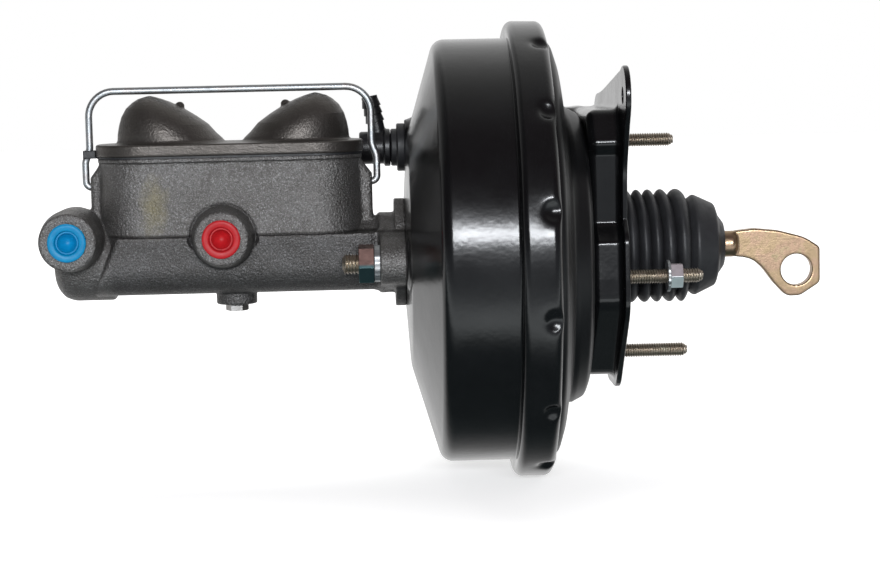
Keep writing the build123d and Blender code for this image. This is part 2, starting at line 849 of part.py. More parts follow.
# ---- Vacuum check valve ----
def grommet():
    """Rubber grommet that holds the check valve in the front shell."""
    hole = valve_stem_radius + running_gap
    outer = ring_x(grommet_radius, hole, valve_seat_x - grommet_height, valve_seat_x, valve_y, valve_z)
    outer = outer + ring_x(
        grommet_neck - seat_gap, hole, valve_seat_x, valve_seat_x + sheet, valve_y, valve_z
    )
    return outer + ring_x(
        grommet_radius - 2.5, hole, valve_seat_x + sheet, valve_seat_x + sheet + 3, valve_y, valve_z
    )


def check_valve():
    """Elbow-shaped check valve: round body in the grommet and a barbed hose nipple."""
    face = valve_seat_x - grommet_height - soft_gap
    body = rod_x(valve_radius, face - valve_reach + grommet_height, face, valve_y, valve_z)
    body = fillet(body.edges().sort_by(Axis.X)[0], 1.5)
    collar = rod_x(valve_radius + 1.4, face - 3.5, face, valve_y, valve_z)
    stem = rod_x(valve_stem_radius, face, valve_seat_x + sheet + 5, valve_y, valve_z)
    profile = [(0, 0), (nipple_radius, 0), (nipple_radius, 15.0)]
    for step in range(3):
        low = 15.0 + 4.4 * step
        profile += [(nipple_barb, low), (nipple_radius, low + 4.4)]
    profile += [(nipple_radius, nipple_length), (0, nipple_length)]
    nipple = revolve(make_face(Plane.XZ * Polyline(*profile, close=True)), Axis.Z)
    nipple = Rot(0, -nipple_lean, 0) * nipple
    nipple = Pos(face + grommet_height - nipple_place, valve_y, valve_z) * nipple
    vent = rod_x(valve_stem_radius - 2, face - 8, valve_seat_x + sheet + 6, valve_y, valve_z)
    return body + collar + stem + nipple - vent


# ---- Power piston ----
def valve_body():
    """Moulded valve body: front head, bored hub and the long rear tube."""
    inner = tube_radius - tube_wall
    back = plate_x + 8
    profile = [
        (hub_front, disc_radius + seat_gap),
        (hub_front, hub_face_radius - 5),
        (hub_front + 4, hub_face_radius),
        (plate_x - plate_sheet, hub_face_radius),
        (plate_x - plate_sheet, tube_radius),
        (tube_end, tube_radius),
        (tube_end, inner),
        (2.0, inner),
        (2.0, plunger_radius + running_gap),
        (hub_front + disc_thickness + 0.1, plunger_radius + running_gap),
        (hub_front + disc_thickness + 0.1, disc_radius + seat_gap),
    ]
    body = turned(profile)
    for angle in around(4, 45):
        slot = Pos(-12, 0, 13.0) * Box(34, 4.0, 2.6)
        body = body - Rot(angle, 0, 0) * slot
    return body - key_bar(key_height + 2 * seat_gap, key_thickness + 2 * seat_gap)


def piston_plate():
    """Pressed support plate of the diaphragm."""
    line = [
        (plate_x - plate_sheet / 2, tube_radius + 0.1),
        (plate_x - plate_sheet / 2, 62.0),
        (plate_x - plate_sheet / 2 - 5.0, 70.0),
        (plate_x - plate_sheet / 2 - 5.0, plate_radius),
        (plate_x - plate_sheet / 2 - 13.0, plate_radius),
    ]
    return pressed(line, [4.0, 4.0, 3.0], plate_sheet)


def diaphragm():
    """Rolling rubber diaphragm from the clamped rim to the valve body."""
    half = diaphragm_thickness / 2
    front = plate_x + half + 0.1
    line = [
        (clamp_x - sheet / 2 - half - 0.1, rim_radius - sheet - 2.5),
        (clamp_x - sheet / 2 - half - 0.1, dish_edge_radius - 3.4),
        (clamp_x + 6.0, dish_knee_radius + 1.0),
        (plate_x - 4.5 + half, plate_radius - 1),
        (plate_x - 4.9 + half, 71.0),
        (front, 62.5),
        (front, tube_radius + 0.2),
    ]
    return pressed(line, [2.5, 3.0, 3.0, 3.0, 3.0], diaphragm_thickness)


def reaction_disc():
    return rod_x(disc_radius, hub_front, hub_front + disc_thickness)


def output_rod():
    """Rod that pushes the primary piston, with its wide foot on the reaction disc."""
    tip = primary_rear - rod_socket_depth
    shank = rod_x(output_rod_radius, tip + 6, hub_front)
    nose = rod_x(output_rod_radius - 1.2, tip, tip + 6)
    nose = fillet(nose.edges().sort_by(Axis.X)[0], 2.5)
    foot = rod_x(output_rod_flange, hub_front - output_flange_height, hub_front)
    return shank + nose + chamfer(foot.edges().sort_by(Axis.X)[0], 1.0)


def rod_retainer():
    """Pressed cap that keeps the output rod on the valve body."""
    start = hub_front - output_flange_height - 1.3
    cap = ring_x(output_rod_flange + 1.9, output_rod_flange + 0.5, start, hub_front)
    return cap + ring_x(output_rod_flange + 1.9, output_rod_radius + 2, start, start + 1.2)


def key_bar(height, thickness):
    """A flat bar across the valve body."""
    return Pos(key_x, 0, 0) * Box(thickness, 2 * tube_radius - 6, height)


def plunger_key():
    """Flat key that keeps the plunger in the valve body."""
    key = key_bar(key_height, key_thickness)
    return key - rod_x(plunger_neck + 0.4, -30, -20) - Pos(key_x, 0, -key_height / 2) * Box(
        2 * key_thickness, 2 * plunger_neck + 0.8, key_height
    )


def air_filter():
    return ring_x(tube_radius - tube_wall - 0.1, filter_hole, filter_start, filter_start + filter_length)


def poppet():
    """Rubber poppet and its seat ring inside the valve body's tube."""
    return ring_x(tube_radius - tube_wall - 0.1, plunger_radius + 2.0, 2.1, 8.0)


def hub_seal():
    """Lip seal in the rear hub, round the valve body's tube."""
    end = hub_end_x - sheet - seat_gap
    outer = rod_x(hub_radius - sheet - seat_gap, plateau_x + 3.0, end)
    outer = chamfer(outer.edges().sort_by(Axis.X)[-1], 1.0)
    return outer - rod_x(tube_radius + running_gap, plateau_x, end + 1)


def hub_bearing():
    """Plastic guide ring in the rear hub, in front of its seal."""
    start = plateau_x - 1.0
    return ring_x(hub_radius - sheet - seat_gap, tube_radius + running_gap, start, plateau_x + 2.9)


# ---- Valve plunger and pushrod ----
def plunger():
    """Valve plunger with the ball socket for the pushrod."""
    body = rod_x(plunger_radius, -20.0, ball_x + 6.0) + rod_x(plunger_neck, -31.0, -20.0)
    body = body + rod_x(plunger_radius, -44.0, -31.0)
    socket = Pos(ball_x, 0, 0) * Sphere(ball_radius + running_gap)
    mouth = rod_x(ball_radius + running_gap, ball_x, ball_x + 8)
    return body - socket - mouth


def eye_outline():
    """Outline of the flattened end in the X-Z plane, with the eye below the rod's axis."""
    right = eye_x + eye_end
    start = neck_end - 6
    line = Polyline((start, -rod_radius), (start, rod_radius), (neck_end + 6, rod_radius + 1.1))
    crown = ThreePointArc((neck_end + 6, rod_radius + 1.1), (eye_x - 5, 5.6), (right, -2.5))
    end = Polyline((right, -2.5), (right, -eye_drop - 6.8), (eye_x + 2, -eye_drop - 13.2))
    low = ThreePointArc(
        (eye_x + 2, -eye_drop - 13.2), (eye_x - 4.6, -eye_drop - 13.2), (eye_x - 9.6, -eye_drop - 9.4)
    )
    flank = Line((eye_x - 9.6, -eye_drop - 9.4), (eye_x - 18, -eye_drop + 2.4))
    heel = ThreePointArc((eye_x - 18, -eye_drop + 2.4), (eye_x - 21.6, -9.4), (eye_x - 27, -rod_radius))
    foot = Line((eye_x - 27, -rod_radius), (start, -rod_radius))
    return make_face(line + crown + end + low + flank + heel + foot)


def pushrod():
    """Pedal pushrod: ball end, neck, collar, round rod and the flattened drop eye."""
    ball = Pos(ball_x, 0, 0) * Sphere(ball_radius)
    neck = rod_x(neck_radius, ball_x, rod_collar_x)
    collar = rod_x(rod_collar_radius, rod_collar_x, rod_collar_x + rod_collar_height)
    rod = rod_x(rod_radius, rod_collar_x, neck_end)
    rod = chamfer(rod.edges().sort_by(Axis.X)[-1], 3.0)
    eye = extrude(Plane.XZ * eye_outline(), eye_thickness / 2, both=True)
    hole = bar_y(eye_hole_radius, eye_x, -eye_drop, -eye_thickness, eye_thickness)
    return ball + neck + collar + rod + eye - hole


# ---- Dust boot ----
def boot_bellows():
    """Folded part of the dust boot, from the rear hub to its collar."""
    start = hub_end_x - 3.5
    pitch = (boot_end - start - 1.0) / boot_folds
    outer = [(plateau_x + 1.0, hub_radius + 2.4), (start, hub_radius + 2.4)]
    inner = [(plateau_x + 1.0, hub_radius + soft_gap), (start, hub_radius + soft_gap)]
    for fold in range(boot_folds):
        x = start + pitch * fold
        outer += [(x + pitch * 0.55, boot_peak), (x + pitch * 0.98, boot_valley + boot_wall)]
        inner += [(x + pitch * 0.55, boot_peak - boot_wall * 1.5), (x + pitch * 0.98, boot_valley)]
    outer[-1] = (boot_end, boot_valley)
    inner[-1] = (boot_end, boot_valley - boot_wall)
    return turned(outer + inner[::-1])


def boot_collar():
    """Stiff end of the dust boot, carried by the valve body's tube."""
    end = boot_end + collar_length
    return turned(
        [
            (boot_end, boot_valley),
            (boot_end + 4.0, collar_bulge),
            (boot_end + 15.5, collar_bulge - 5.4),
            (boot_end + 17.5, 17.0),
            (end, 12.4),
            (end, collar_mouth),
            (end - 3.0, collar_mouth),
            (end - 5.0, 15.0),
            (tube_end + 0.2, tube_radius - 1.5),
            (tube_end + 0.2, tube_radius + 0.1),
            (boot_end, tube_radius + 0.1),
        ]
    )


# ---- Hydraulic pistons ----
def primary_piston():
    """Primary piston with a deep socket for the output rod."""
    radius = bore_radius - running_gap
    body = turned(
        [
            (primary_front, 0),
            (primary_front, radius - 3),
            (primary_front + 3, radius - 3),
            (primary_front + 3, radius),
            (primary_front + piston_land, radius),
            (primary_front + piston_land, piston_waist),
            (primary_rear - piston_land, piston_waist),
            (primary_rear - piston_land, radius),
            (primary_rear, radius),
            (primary_rear, output_rod_radius + 1),
            (primary_rear - rod_socket_depth - soft_gap, output_rod_radius + 1),
            (primary_rear - rod_socket_depth - soft_gap, 0),
        ]
    )
    return body


def piston_cup(front):
    """A rubber cup seated on a piston's nose."""
    return ring_x(bore_radius - running_gap, bore_radius - 3, front + 0.1, front + 2.9)


def primary_cup():
    return piston_cup(primary_front)


def secondary_piston():
    """Floating secondary piston with a land at each end."""
    radius = bore_radius - running_gap
    return turned(
        [
            (secondary_front, 0),
            (secondary_front, radius - 3),
            (secondary_front + 3, radius - 3),
            (secondary_front + 3, radius),
            (secondary_front + piston_land, radius),
            (secondary_front + piston_land, piston_waist),
            (secondary_rear - 17, piston_waist),
            (secondary_rear - 17, radius),
            (secondary_rear - 12, radius),
            (secondary_rear - 12, piston_waist - 2),
            (secondary_rear - 3, piston_waist - 2),
            (secondary_rear - 3, bore_radius - 0.8),
            (secondary_rear, bore_radius - 0.8),
            (secondary_rear, 0),
        ]
    )


def secondary_cup():
    return piston_cup(secondary_front)


def primary_spring():
    return coil(bore_radius - 3.4, spring_wire, secondary_rear, primary_front, 7)


def secondary_spring():
    return coil(bore_radius - 3.4, spring_wire, bore_end_x, secondary_front, 4)


def return_spring():
    start = face_x + sheet + backing_plate_thickness
    return coil(return_spring_radius, return_wire, start, hub_front, return_turns)


def rod_return_spring():
    return coil(plunger_radius + 1.6, 0.8, 8.5, rod_collar_x, 4)


parts = {
    "front_shell": front_shell,
    "rear_shell": rear_shell,
    "firewall_bracket": firewall_bracket,
    "firewall_studs": firewall_studs,
    "stud_collar": stud_collar,
    "firewall_nut": firewall_nut,
    "firewall_washer": firewall_washer,
    "shell_studs": shell_studs,
    "shell_stud_nuts": shell_stud_nuts,
    "hub_seal": hub_seal,
    "hub_bearing": hub_bearing,
    "cylinder_body": cylinder_body,
    "stop_screw": stop_screw,
    "tube_seats": tube_seats,
    "snap_ring": snap_ring,
    "front_seal": front_seal,
    "cover_gasket": cover_gasket,
    "reservoir_cover": reservoir_cover,
    "bail_wire": bail_wire,
    "mc_studs": mc_studs,
    "mc_washers": mc_washers,
    "mc_nuts": mc_nuts,
    "backing_plate": backing_plate,
    "front_port_plug": lambda: port_plug(front_port_x),
    "rear_port_plug": lambda: port_plug(rear_port_x),
    "valve_grommet": grommet,
    "check_valve": check_valve,
    "valve_body": valve_body,
    "piston_plate": piston_plate,
    "diaphragm": diaphragm,
    "reaction_disc": reaction_disc,
    "output_rod": output_rod,
    "rod_retainer": rod_retainer,
    "plunger_key": plunger_key,
    "air_filter": air_filter,
    "poppet": poppet,
    "plunger": plunger,
    "pushrod": pushrod,
    "boot_bellows": boot_bellows,
    "boot_collar": boot_collar,
    "primary_piston": primary_piston,
    "primary_cup": primary_cup,
    "secondary_piston": secondary_piston,
    "secondary_cup": secondary_cup,
    "primary_spring": primary_spring,
    "secondary_spring": secondary_spring,
    "return_spring": return_spring,
    "rod_return_spring": rod_return_spring,
}

os.makedirs("parts", exist_ok=True)
for name, make in parts.items():
    made = make()
    solids = made if isinstance(made, list) else made.solids()
    export_step(Compound(children=list(solids), label=name), f"parts/{name}.step")
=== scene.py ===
import json
import math

import bmesh
import bpy
import numpy as np
import openvdb
from mathutils import Matrix, Vector

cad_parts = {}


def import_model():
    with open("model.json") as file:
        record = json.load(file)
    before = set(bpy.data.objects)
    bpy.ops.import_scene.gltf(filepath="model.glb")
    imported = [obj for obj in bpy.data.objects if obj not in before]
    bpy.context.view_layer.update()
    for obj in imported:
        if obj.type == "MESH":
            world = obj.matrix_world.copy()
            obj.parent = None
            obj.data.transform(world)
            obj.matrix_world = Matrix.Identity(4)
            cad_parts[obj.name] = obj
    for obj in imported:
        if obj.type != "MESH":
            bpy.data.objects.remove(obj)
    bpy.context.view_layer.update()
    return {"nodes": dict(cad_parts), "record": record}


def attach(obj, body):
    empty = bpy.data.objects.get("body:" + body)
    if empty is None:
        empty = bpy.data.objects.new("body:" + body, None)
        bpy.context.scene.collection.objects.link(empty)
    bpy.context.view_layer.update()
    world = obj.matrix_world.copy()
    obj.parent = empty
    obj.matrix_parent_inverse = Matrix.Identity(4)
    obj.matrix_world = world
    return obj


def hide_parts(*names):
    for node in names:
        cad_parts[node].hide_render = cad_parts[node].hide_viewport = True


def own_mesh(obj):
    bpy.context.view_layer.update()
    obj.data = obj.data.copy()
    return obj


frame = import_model()

MM = 0.001
FINE = 1.0

# ------------------------ sizes, in mm, in the CAD frame
FACE_X = -119.5                         # master cylinder against the front shell
EAR_X = -133.7                          # front of its two ears
NOSE_X = -313.5
TUB_FRONT, TUB_REAR, TUB_MID = -287.0, -143.5, -215.25
TUB_HALF, LIP_HALF, BODY_HALF, COVER_HALF = 28.6, 30.2, 30.6, 31.2
BODY_BOTTOM, BODY_TOP, TUB_TOP, COVER_BOTTOM, COVER_TOP = -19.5, 13.0, 56.0, 57.0, 63.6
BODY_DRAFT, TUB_DRAFT, SLANT_COS, SLANT_SIN = 0.07, 0.03, 0.928, 0.373
BARREL_R, NOSE_R, BORE_R, SCOOP_R = 19.4, 22.9, 12.7, 19.4
EAR_ROOT_R, EAR_R, EAR_BORE_R, PORT_BORE_R, PIVOT_BORE_R = 22.2, 11.5, 5.8, 5.6, 2.12
FRONT_PORT_X, REAR_PORT_X, PORT_Z, PORT_FACE = -301.7, -219.05, 12.6, 46.0
STOP_X, STOP_FOOT, STOP_END, STOP_FLATS = -213.95, -26.6, -30.4, 11.1
BAIL_FRONT, BAIL_REAR, BAIL_TOP, BAIL_KINK_Z, PIVOT_Z, WIRE_R = -292.9, -136.7, 92.8, 61.0, 40.0, 2.0
EARS = [(s * 42 * math.cos(math.radians(3.8)), s * 42 * math.sin(math.radians(3.8))) for s in (-1, 1)]
SHEET = 1.8                             # thickness of the two shells
PAD_ROOT_R, PAD_R, VALVE_PAD_R = 31.0, 14.5, 16.4
PLATEAU_X, RIM_BACK = -20.5, -41.7
DENTS, DENT_R, DENT_RING, DENT_X = 14, 5.4, 128.9, RIM_BACK - 3.9
STUDS = [(-41.0, -13.5), (74.0, 57.0), (25.0, -62.0)]
STUD_R, STUD_END, SHOULDER = 3.97, 41.5, 2.2
STUD_HOLES, SHELL_HOLE = (4.45, 5.95, 4.45), 4.27
EAR_HOLE, EAR_HOLE_R, CENTRE_HOLE_R, BRACKET_SHEET = (-60.0, 85.0), 4.3, 35.5, 2.6
SHELL_STUDS = [(45 * math.cos(math.radians(a)), 45 * math.sin(math.radians(a))) for a in (45, 114, 225, 315)]
VALVE_Y, VALVE_Z, VALVE_SEAT = 34.0, 57.3, -117.7
EYE_X, EYE_DROP, EYE_BORE_R, EYE_HALF, ROD_R = 100.0, 15.2, 8.8, 4.0, 7.35
FLOOR_LEVEL, FLOOR_HALF = -0.1275, 6.0  # in metres, as the camera and the lamps are


# ------------------------ materials
class Nodes:
    """Adds nodes to a node tree; a value is a number, a tuple or another node's output."""

    def __init__(self, tree):
        self.tree = tree

    def fill(self, socket, value):
        """Links or sets a socket; a colour of three numbers gets its alpha."""
        if hasattr(value, "is_linked"):
            self.tree.links.new(value, socket)
        else:
            socket.default_value = (*value, 1.0) if socket.type == "RGBA" else value

    def new(self, kind, inputs=None, **settings):
        node = self.tree.nodes.new(kind)
        for key, value in settings.items():
            setattr(node, key, value)
        for key, value in (inputs or {}).items():
            self.fill(node.inputs[key], value)
        return node

    def calc(self, operation, *values):
        return self.new("ShaderNodeMath", dict(enumerate(values)), operation=operation).outputs[0]

    def vector(self, operation, *values):
        return self.new("ShaderNodeVectorMath", dict(enumerate(values)), operation=operation).outputs

    def fade(self, value, start, end, low=0.0, high=1.0):
        """Low up to the start of the value's range, high from its end on, and even between them."""
        inputs = {"Value": value, "From Min": start, "From Max": end, "To Min": low, "To Max": high}
        return self.new("ShaderNodeMapRange", inputs).outputs["Result"]

    def ramp(self, factor, *stops):
        node = self.new("ShaderNodeValToRGB", {"Fac": factor})
        band = node.color_ramp
        while len(band.elements) < len(stops):
            band.elements.new(0.5)
        for element, (place, color) in zip(band.elements, stops):
            element.position = place
            element.color = (*color, 1.0)
        return node.outputs["Color"]

    def mix(self, factor, a, b, mode="MIX"):
        inputs = {0: factor, 6: a, 7: b}    # the colour sockets of this node
        return self.new("ShaderNodeMix", inputs, data_type="RGBA", blend_type=mode).outputs[2]


class Shader(Nodes):
    """A node material whose patterns are placed in the object's own metres."""

    def __init__(self, name):
        self.mat = bpy.data.materials.new(name)
        self.mat.use_nodes = True
        super().__init__(self.mat.node_tree)
        self.bsdf = self.tree.nodes["Principled BSDF"]
        self.coord = self.new("ShaderNodeTexCoord").outputs["Object"]

    def noise(self, scale, detail=4.0, rough=0.55, stretch=None):
        vector = self.coord
        if stretch:
            vector = self.new("ShaderNodeMapping", {"Vector": self.coord, "Scale": stretch}).outputs[0]
        inputs = {"Vector": vector, "Scale": scale, "Detail": detail, "Roughness": rough}
        return self.new("ShaderNodeTexNoise", inputs).outputs["Fac"]

    def spread(self, noise, low=0.0, high=1.0):
        """A noise, which lies mostly between 0.25 and 0.75, drawn out from low to high."""
        return self.fade(noise, 0.25, 0.75, low, high)

    def bump(self, *layers):
        """Layers of height, strength and distance in metres."""
        normal = None
        for height, strength, distance in layers:
            inputs = {"Height": height, "Strength": strength, "Distance": distance}
            if normal:
                inputs["Normal"] = normal
            normal = self.new("ShaderNodeBump", inputs).outputs[0]
        self.tree.links.new(normal, self.bsdf.inputs["Normal"])

    def put(self, **values):
        """Fills sockets of the shader node, named with _ for a space."""
        for key, value in values.items():
            self.fill(self.bsdf.inputs[key.replace("_", " ")], value)

    def place(self, axis):
        """The position along X, Y or Z, in metres."""
        return self.new("ShaderNodeSeparateXYZ", {0: self.coord}).outputs[axis]

    def along(self, axis, start, end):
        """0 at one place along X, Y or Z and 1 at another, both in mm."""
        return self.fade(self.place(axis), start * MM, end * MM)

    def near(self, place, size):
        """1 at a place, falling to 0 at the given sizes, with a ragged edge."""
        moved = self.vector("SUBTRACT", self.coord, tuple(v * MM for v in place))[0]
        scaled = self.vector("MULTIPLY", moved, tuple(1 / (v * MM) for v in size))[0]
        length = self.vector("LENGTH", scaled)["Value"]
        return self.fade(self.calc("ADD", length, self.noise(180, 5)), 0.7, 1.5, 1.0, 0.0)


def enamel(name="black_enamel", rough=(0.16, 0.24), shine=0.5):
    """Black paint with a little dust and a faint waviness."""
    s = Shader(name)
    dust = s.spread(s.noise(60, 6, 0.6))
    s.put(Base_Color=s.mix(dust, (0.0022, 0.0022, 0.0025), (0.0048, 0.005, 0.0056)),
          Roughness=s.spread(s.noise(35, 5), *rough), Specular_IOR_Level=shine)
    s.bump((s.noise(420, 2, 0.4), 0.045, 0.001), (s.noise(45, 3, 0.4), 0.05, 0.004))
    return s.mat


def cast_iron():
    """Grey casting with pale flecks, painted shade on its lower part and in the crease along its ledge, and darker on
    its lid.
    """
    s = Shader("cast_iron")
    patches = s.noise(60, 6, 0.6)
    color = s.ramp(patches, (0.3, (0.108, 0.101, 0.095)), (0.5, (0.134, 0.127, 0.121)), (0.72, (0.16, 0.154, 0.149)))
    flecks = s.ramp(s.noise(1300, 3, 0.75), (0.5, (0.0, 0.0, 0.0)), (0.7, (0.65, 0.65, 0.65)))
    color = s.mix(flecks, color, (0.4, 0.4, 0.4))
    stain = s.calc("MULTIPLY", s.near((-256, -30, 30), (9, 12, 19)), 0.4)
    color = s.mix(stain, color, (0.26, 0.22, 0.09))

    # Painted shade: below the ledge the casting's colour is darkened, except on the near outlet bosses and the nose.
    upper = s.along("Z", BODY_TOP - 2.0, BODY_TOP + 1.0)
    outlets = s.calc("MAXIMUM", s.along("Y", -33.0, -38.0), s.along("X", -279.0, -285.0))
    lower_painted_shade = s.mix(1.0, color, (0.66, 0.66, 0.67), "MULTIPLY")
    color = s.mix(s.calc("MAXIMUM", upper, outlets), lower_painted_shade, color)

    # Painted shade: a thin dark line along the crease at the ledge's top, left off the outlets.
    away = s.calc("ABSOLUTE", s.calc("SUBTRACT", s.place("Z"), (BODY_TOP + 0.6) * MM))
    crease_painted_shade = s.calc("MULTIPLY", s.fade(away, 0.0003, 0.0011, 0.75, 0.0), s.calc("SUBTRACT", 1.0, outlets))
    color = s.mix(crease_painted_shade, color, (0.02, 0.018, 0.016))

    lid = s.along("Z", TUB_TOP + 0.2, TUB_TOP + 1.5)
    color = s.mix(lid, color, s.ramp(patches, (0.3, (0.078, 0.07, 0.063)), (0.7, (0.094, 0.085, 0.078))))
    rough = s.calc("ADD", s.spread(s.noise(500, 4), 0.38, 0.54), s.calc("MULTIPLY", lid, -0.06))
    s.put(Base_Color=color, Metallic=0.75, Roughness=rough)
    coarse = s.fade(lid, 0.0, 1.0, 0.85, 0.3)
    pits = s.new("ShaderNodeTexVoronoi", {"Vector": s.coord, "Scale": 800.0}, feature="F1").outputs["Distance"]
    s.bump((s.noise(820, 3, 0.7), coarse, 0.0007), (pits, coarse, 0.0003), (s.noise(160, 3), 0.15, 0.001))
    return s.mat


def hex_painted_reflections(name, split, above, below, rough=(0.3, 0.44)):
    """Plated hexagon with painted reflections: one tone above a height and another below it, standing for the room
    mirrored in its upper and lower faces.
    """
    s = Shader(name)
    color = s.mix(s.along("Z", split - 0.6, split + 0.6), below, above)
    tone = s.mix(s.spread(s.noise(300, 4), 0.75, 1.25), (0.8, 0.8, 0.8), (1.0, 1.0, 1.0))
    s.put(Base_Color=s.mix(1.0, color, tone, "MULTIPLY"), Metallic=1.0, Roughness=s.spread(s.noise(400, 4), *rough))
    s.bump((s.noise(900, 3), 0.15, 0.0003))
    return s.mat


def plated(name, colors, rough=(0.2, 0.38), grain=500):
    """Bare or plated metal whose tone wanders through a few colours."""
    s = Shader(name)
    stops = [(0.3 + 0.4 * n / (len(colors) - 1), c) for n, c in enumerate(colors)]
    s.put(Base_Color=s.ramp(s.noise(110, 4, 0.6), *stops), Metallic=1.0, Roughness=s.spread(s.noise(grain, 4), *rough))
    s.bump((s.noise(grain * 2, 3), 0.18, 0.0003), (s.noise(120, 3), 0.12, 0.0008))
    return s.mat


def soft_black(name, low, high, rough, grain):
    """Rubber or nylon."""
    s = Shader(name)
    s.put(Base_Color=s.mix(s.spread(s.noise(90, 6)), low, high), Roughness=s.spread(s.noise(250, 4), *rough))
    s.bump((s.noise(grain, 4), 0.2, 0.0004))
    return s.mat


def plastic(name, base, deep):
    """The coloured plugs."""
    s = Shader(name)
    s.put(Base_Color=s.mix(s.spread(s.noise(260, 4)), base, deep), Roughness=s.spread(s.noise(180, 3), 0.36, 0.5),
          Specular_IOR_Level=0.3)
    s.bump((s.noise(700, 3), 0.12, 0.0004))
    return s.mat


def phenolic():
    s = Shader("phenolic")
    s.put(Base_Color=s.ramp(s.noise(140, 6), (0.35, (0.035, 0.026, 0.02)), (0.65, (0.06, 0.045, 0.034))),
          Roughness=s.spread(s.noise(300, 4), 0.4, 0.55))
    s.bump((s.noise(900, 3), 0.2, 0.0003))
    return s.mat


def felt():
    s = Shader("filter_felt")
    fibre = s.noise(900, 5, 0.7, (1.0, 0.35, 0.35))
    s.put(Base_Color=s.ramp(fibre, (0.3, (0.16, 0.15, 0.13)), (0.7, (0.32, 0.3, 0.27))), Roughness=0.92)
    s.bump((fibre, 0.9, 0.001))
    return s.mat


MATERIALS = {
    "black_paint": enamel(),
    "cast": cast_iron(),
    "yellow_zinc": plated("yellow_zinc", [(0.36, 0.255, 0.155), (0.385, 0.28, 0.17), (0.41, 0.275, 0.19),
                                          (0.37, 0.29, 0.175)], (0.28, 0.42)),
    "bright_zinc": plated("bright_zinc", [(0.38, 0.4, 0.41), (0.46, 0.48, 0.49), (0.45, 0.42, 0.41)], (0.4, 0.52)),
    "steel": plated("plain_steel", [(0.25, 0.24, 0.23), (0.4, 0.39, 0.38)], (0.3, 0.5)),
    "spring_steel": plated("spring_steel", [(0.1, 0.1, 0.105), (0.2, 0.2, 0.2)], (0.25, 0.45)),
    "brass": plated("brass", [(0.55, 0.38, 0.13), (0.7, 0.52, 0.22)], (0.2, 0.35)),
    "aluminium": plated("aluminium", [(0.5, 0.5, 0.5), (0.68, 0.68, 0.68)], (0.22, 0.36)),
    "rubber": soft_black("black_rubber", (0.011, 0.0115, 0.013), (0.022, 0.0225, 0.025), (0.4, 0.6), 900),
    "black_plastic": soft_black("black_nylon", (0.006, 0.006, 0.007), (0.013, 0.013, 0.015), (0.3, 0.45), 600),
    "moulded_phenolic": phenolic(),
    "filter_foam": felt(),
    "blue_plug": plastic("blue_plastic", (0.0, 0.27, 0.53), (0.0, 0.21, 0.45)),
    "red_plug": plastic("red_plastic", (0.52, 0.014, 0.02), (0.4, 0.008, 0.012)),
}
PALE_ZINC = plated("pale_zinc", [(0.33, 0.29, 0.23), (0.44, 0.39, 0.32), (0.4, 0.34, 0.28), (0.46, 0.43, 0.36)],
                   (0.36, 0.5))
SPECIAL = {  # pieces that look different from the rest of their slot
    # Painted reflections: the nuts' upper and lower tones stand for the room mirrored in their faces; the firewall
    # nut's pale tones are also painted brightness.
    "mc_nuts": hex_painted_reflections("mc_nut_zinc", -2.8, (0.25, 0.155, 0.135), (0.11, 0.19, 0.2)),
    "firewall_nut": hex_painted_reflections("nut_zinc", -13.5, (0.6, 0.54, 0.56), (0.8, 0.88, 0.88), (0.48, 0.6)),
    "firewall_studs": PALE_ZINC,
    "mc_studs": PALE_ZINC,
    "rear_shell": enamel("rear_enamel", (0.36, 0.44), 0.36),
}
SLOT_OF = {part["node"]: part["material_slot"] for part in frame["record"]["subparts"]}


# ------------------------ mesh helpers
WELD = 2e-6                             # metres
STRAIGHT, ARC_STEP = 0.02, math.radians(9)


def add_object(name, data):
    """A new object in the scene."""
    made = bpy.data.objects.new(name, data)
    bpy.context.scene.collection.objects.link(made)
    return made


def finish_mesh(name, verts, faces, node, body, angle=40.0, instead=True):
    """Makes an object in metres from mm points; it stands for a CAD node and rides its body."""
    mesh = bpy.data.meshes.new(name)
    mesh.from_pydata((np.asarray(verts, dtype=np.float64) * MM).tolist(), [], [tuple(f) for f in faces])
    mesh.validate()
    mesh.update()
    work = bmesh.new()
    work.from_mesh(mesh)
    bmesh.ops.remove_doubles(work, verts=work.verts, dist=WELD)
    bmesh.ops.recalc_face_normals(work, faces=work.faces)
    work.to_mesh(mesh)
    work.free()
    mesh.shade_smooth()
    mesh.set_sharp_from_angle(angle=math.radians(angle))
    piece = add_object(name, mesh)
    mesh.materials.append(SPECIAL.get(node) or MATERIALS[SLOT_OF[node]])
    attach(piece, body)
    if instead:
        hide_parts(node)
    return piece


def ring_faces(rings, around, closed=True):
    """Faces of a grid of rings x around, wrapped round the axis."""
    first = np.arange(rings - (0 if closed else 1))
    second = (first + 1) % rings
    step = np.arange(around)
    after = (step + 1) % around
    a = first[:, None] * around + step[None, :]
    b = first[:, None] * around + after[None, :]
    c = second[:, None] * around + after[None, :]
    d = second[:, None] * around + step[None, :]
    return np.stack([a, b, c, d], axis=-1).reshape(-1, 4)


def circle(around):
    """Even angles round a circle."""
    return 2 * math.pi * np.arange(around) / around


def lathe_grid(profile, around):
    """Points of a profile of (x, r) turned about X, as rings x around x 3."""
    profile = np.asarray(profile, dtype=float)
    angle = circle(around)
    x = np.repeat(profile[:, :1], around, axis=1)
    y = profile[:, 1:2] * np.cos(angle)[None, :]
    z = profile[:, 1:2] * np.sin(angle)[None, :]
    return np.stack([x, y, z], axis=-1)


def headings(path):
    """Unit directions along a path."""
    along = np.gradient(path, axis=0)
    return along / np.linalg.norm(along, axis=1)[:, None]


def tube_grid(path, radius, side, other, around):
    """Circles round the points of a path, in the plane of two directions."""
    angle = circle(around)
    cos, sin = np.cos(angle)[None, :, None], np.sin(angle)[None, :, None]
    return path[:, None] + radius * (cos * side[:, None] + sin * other[:, None])


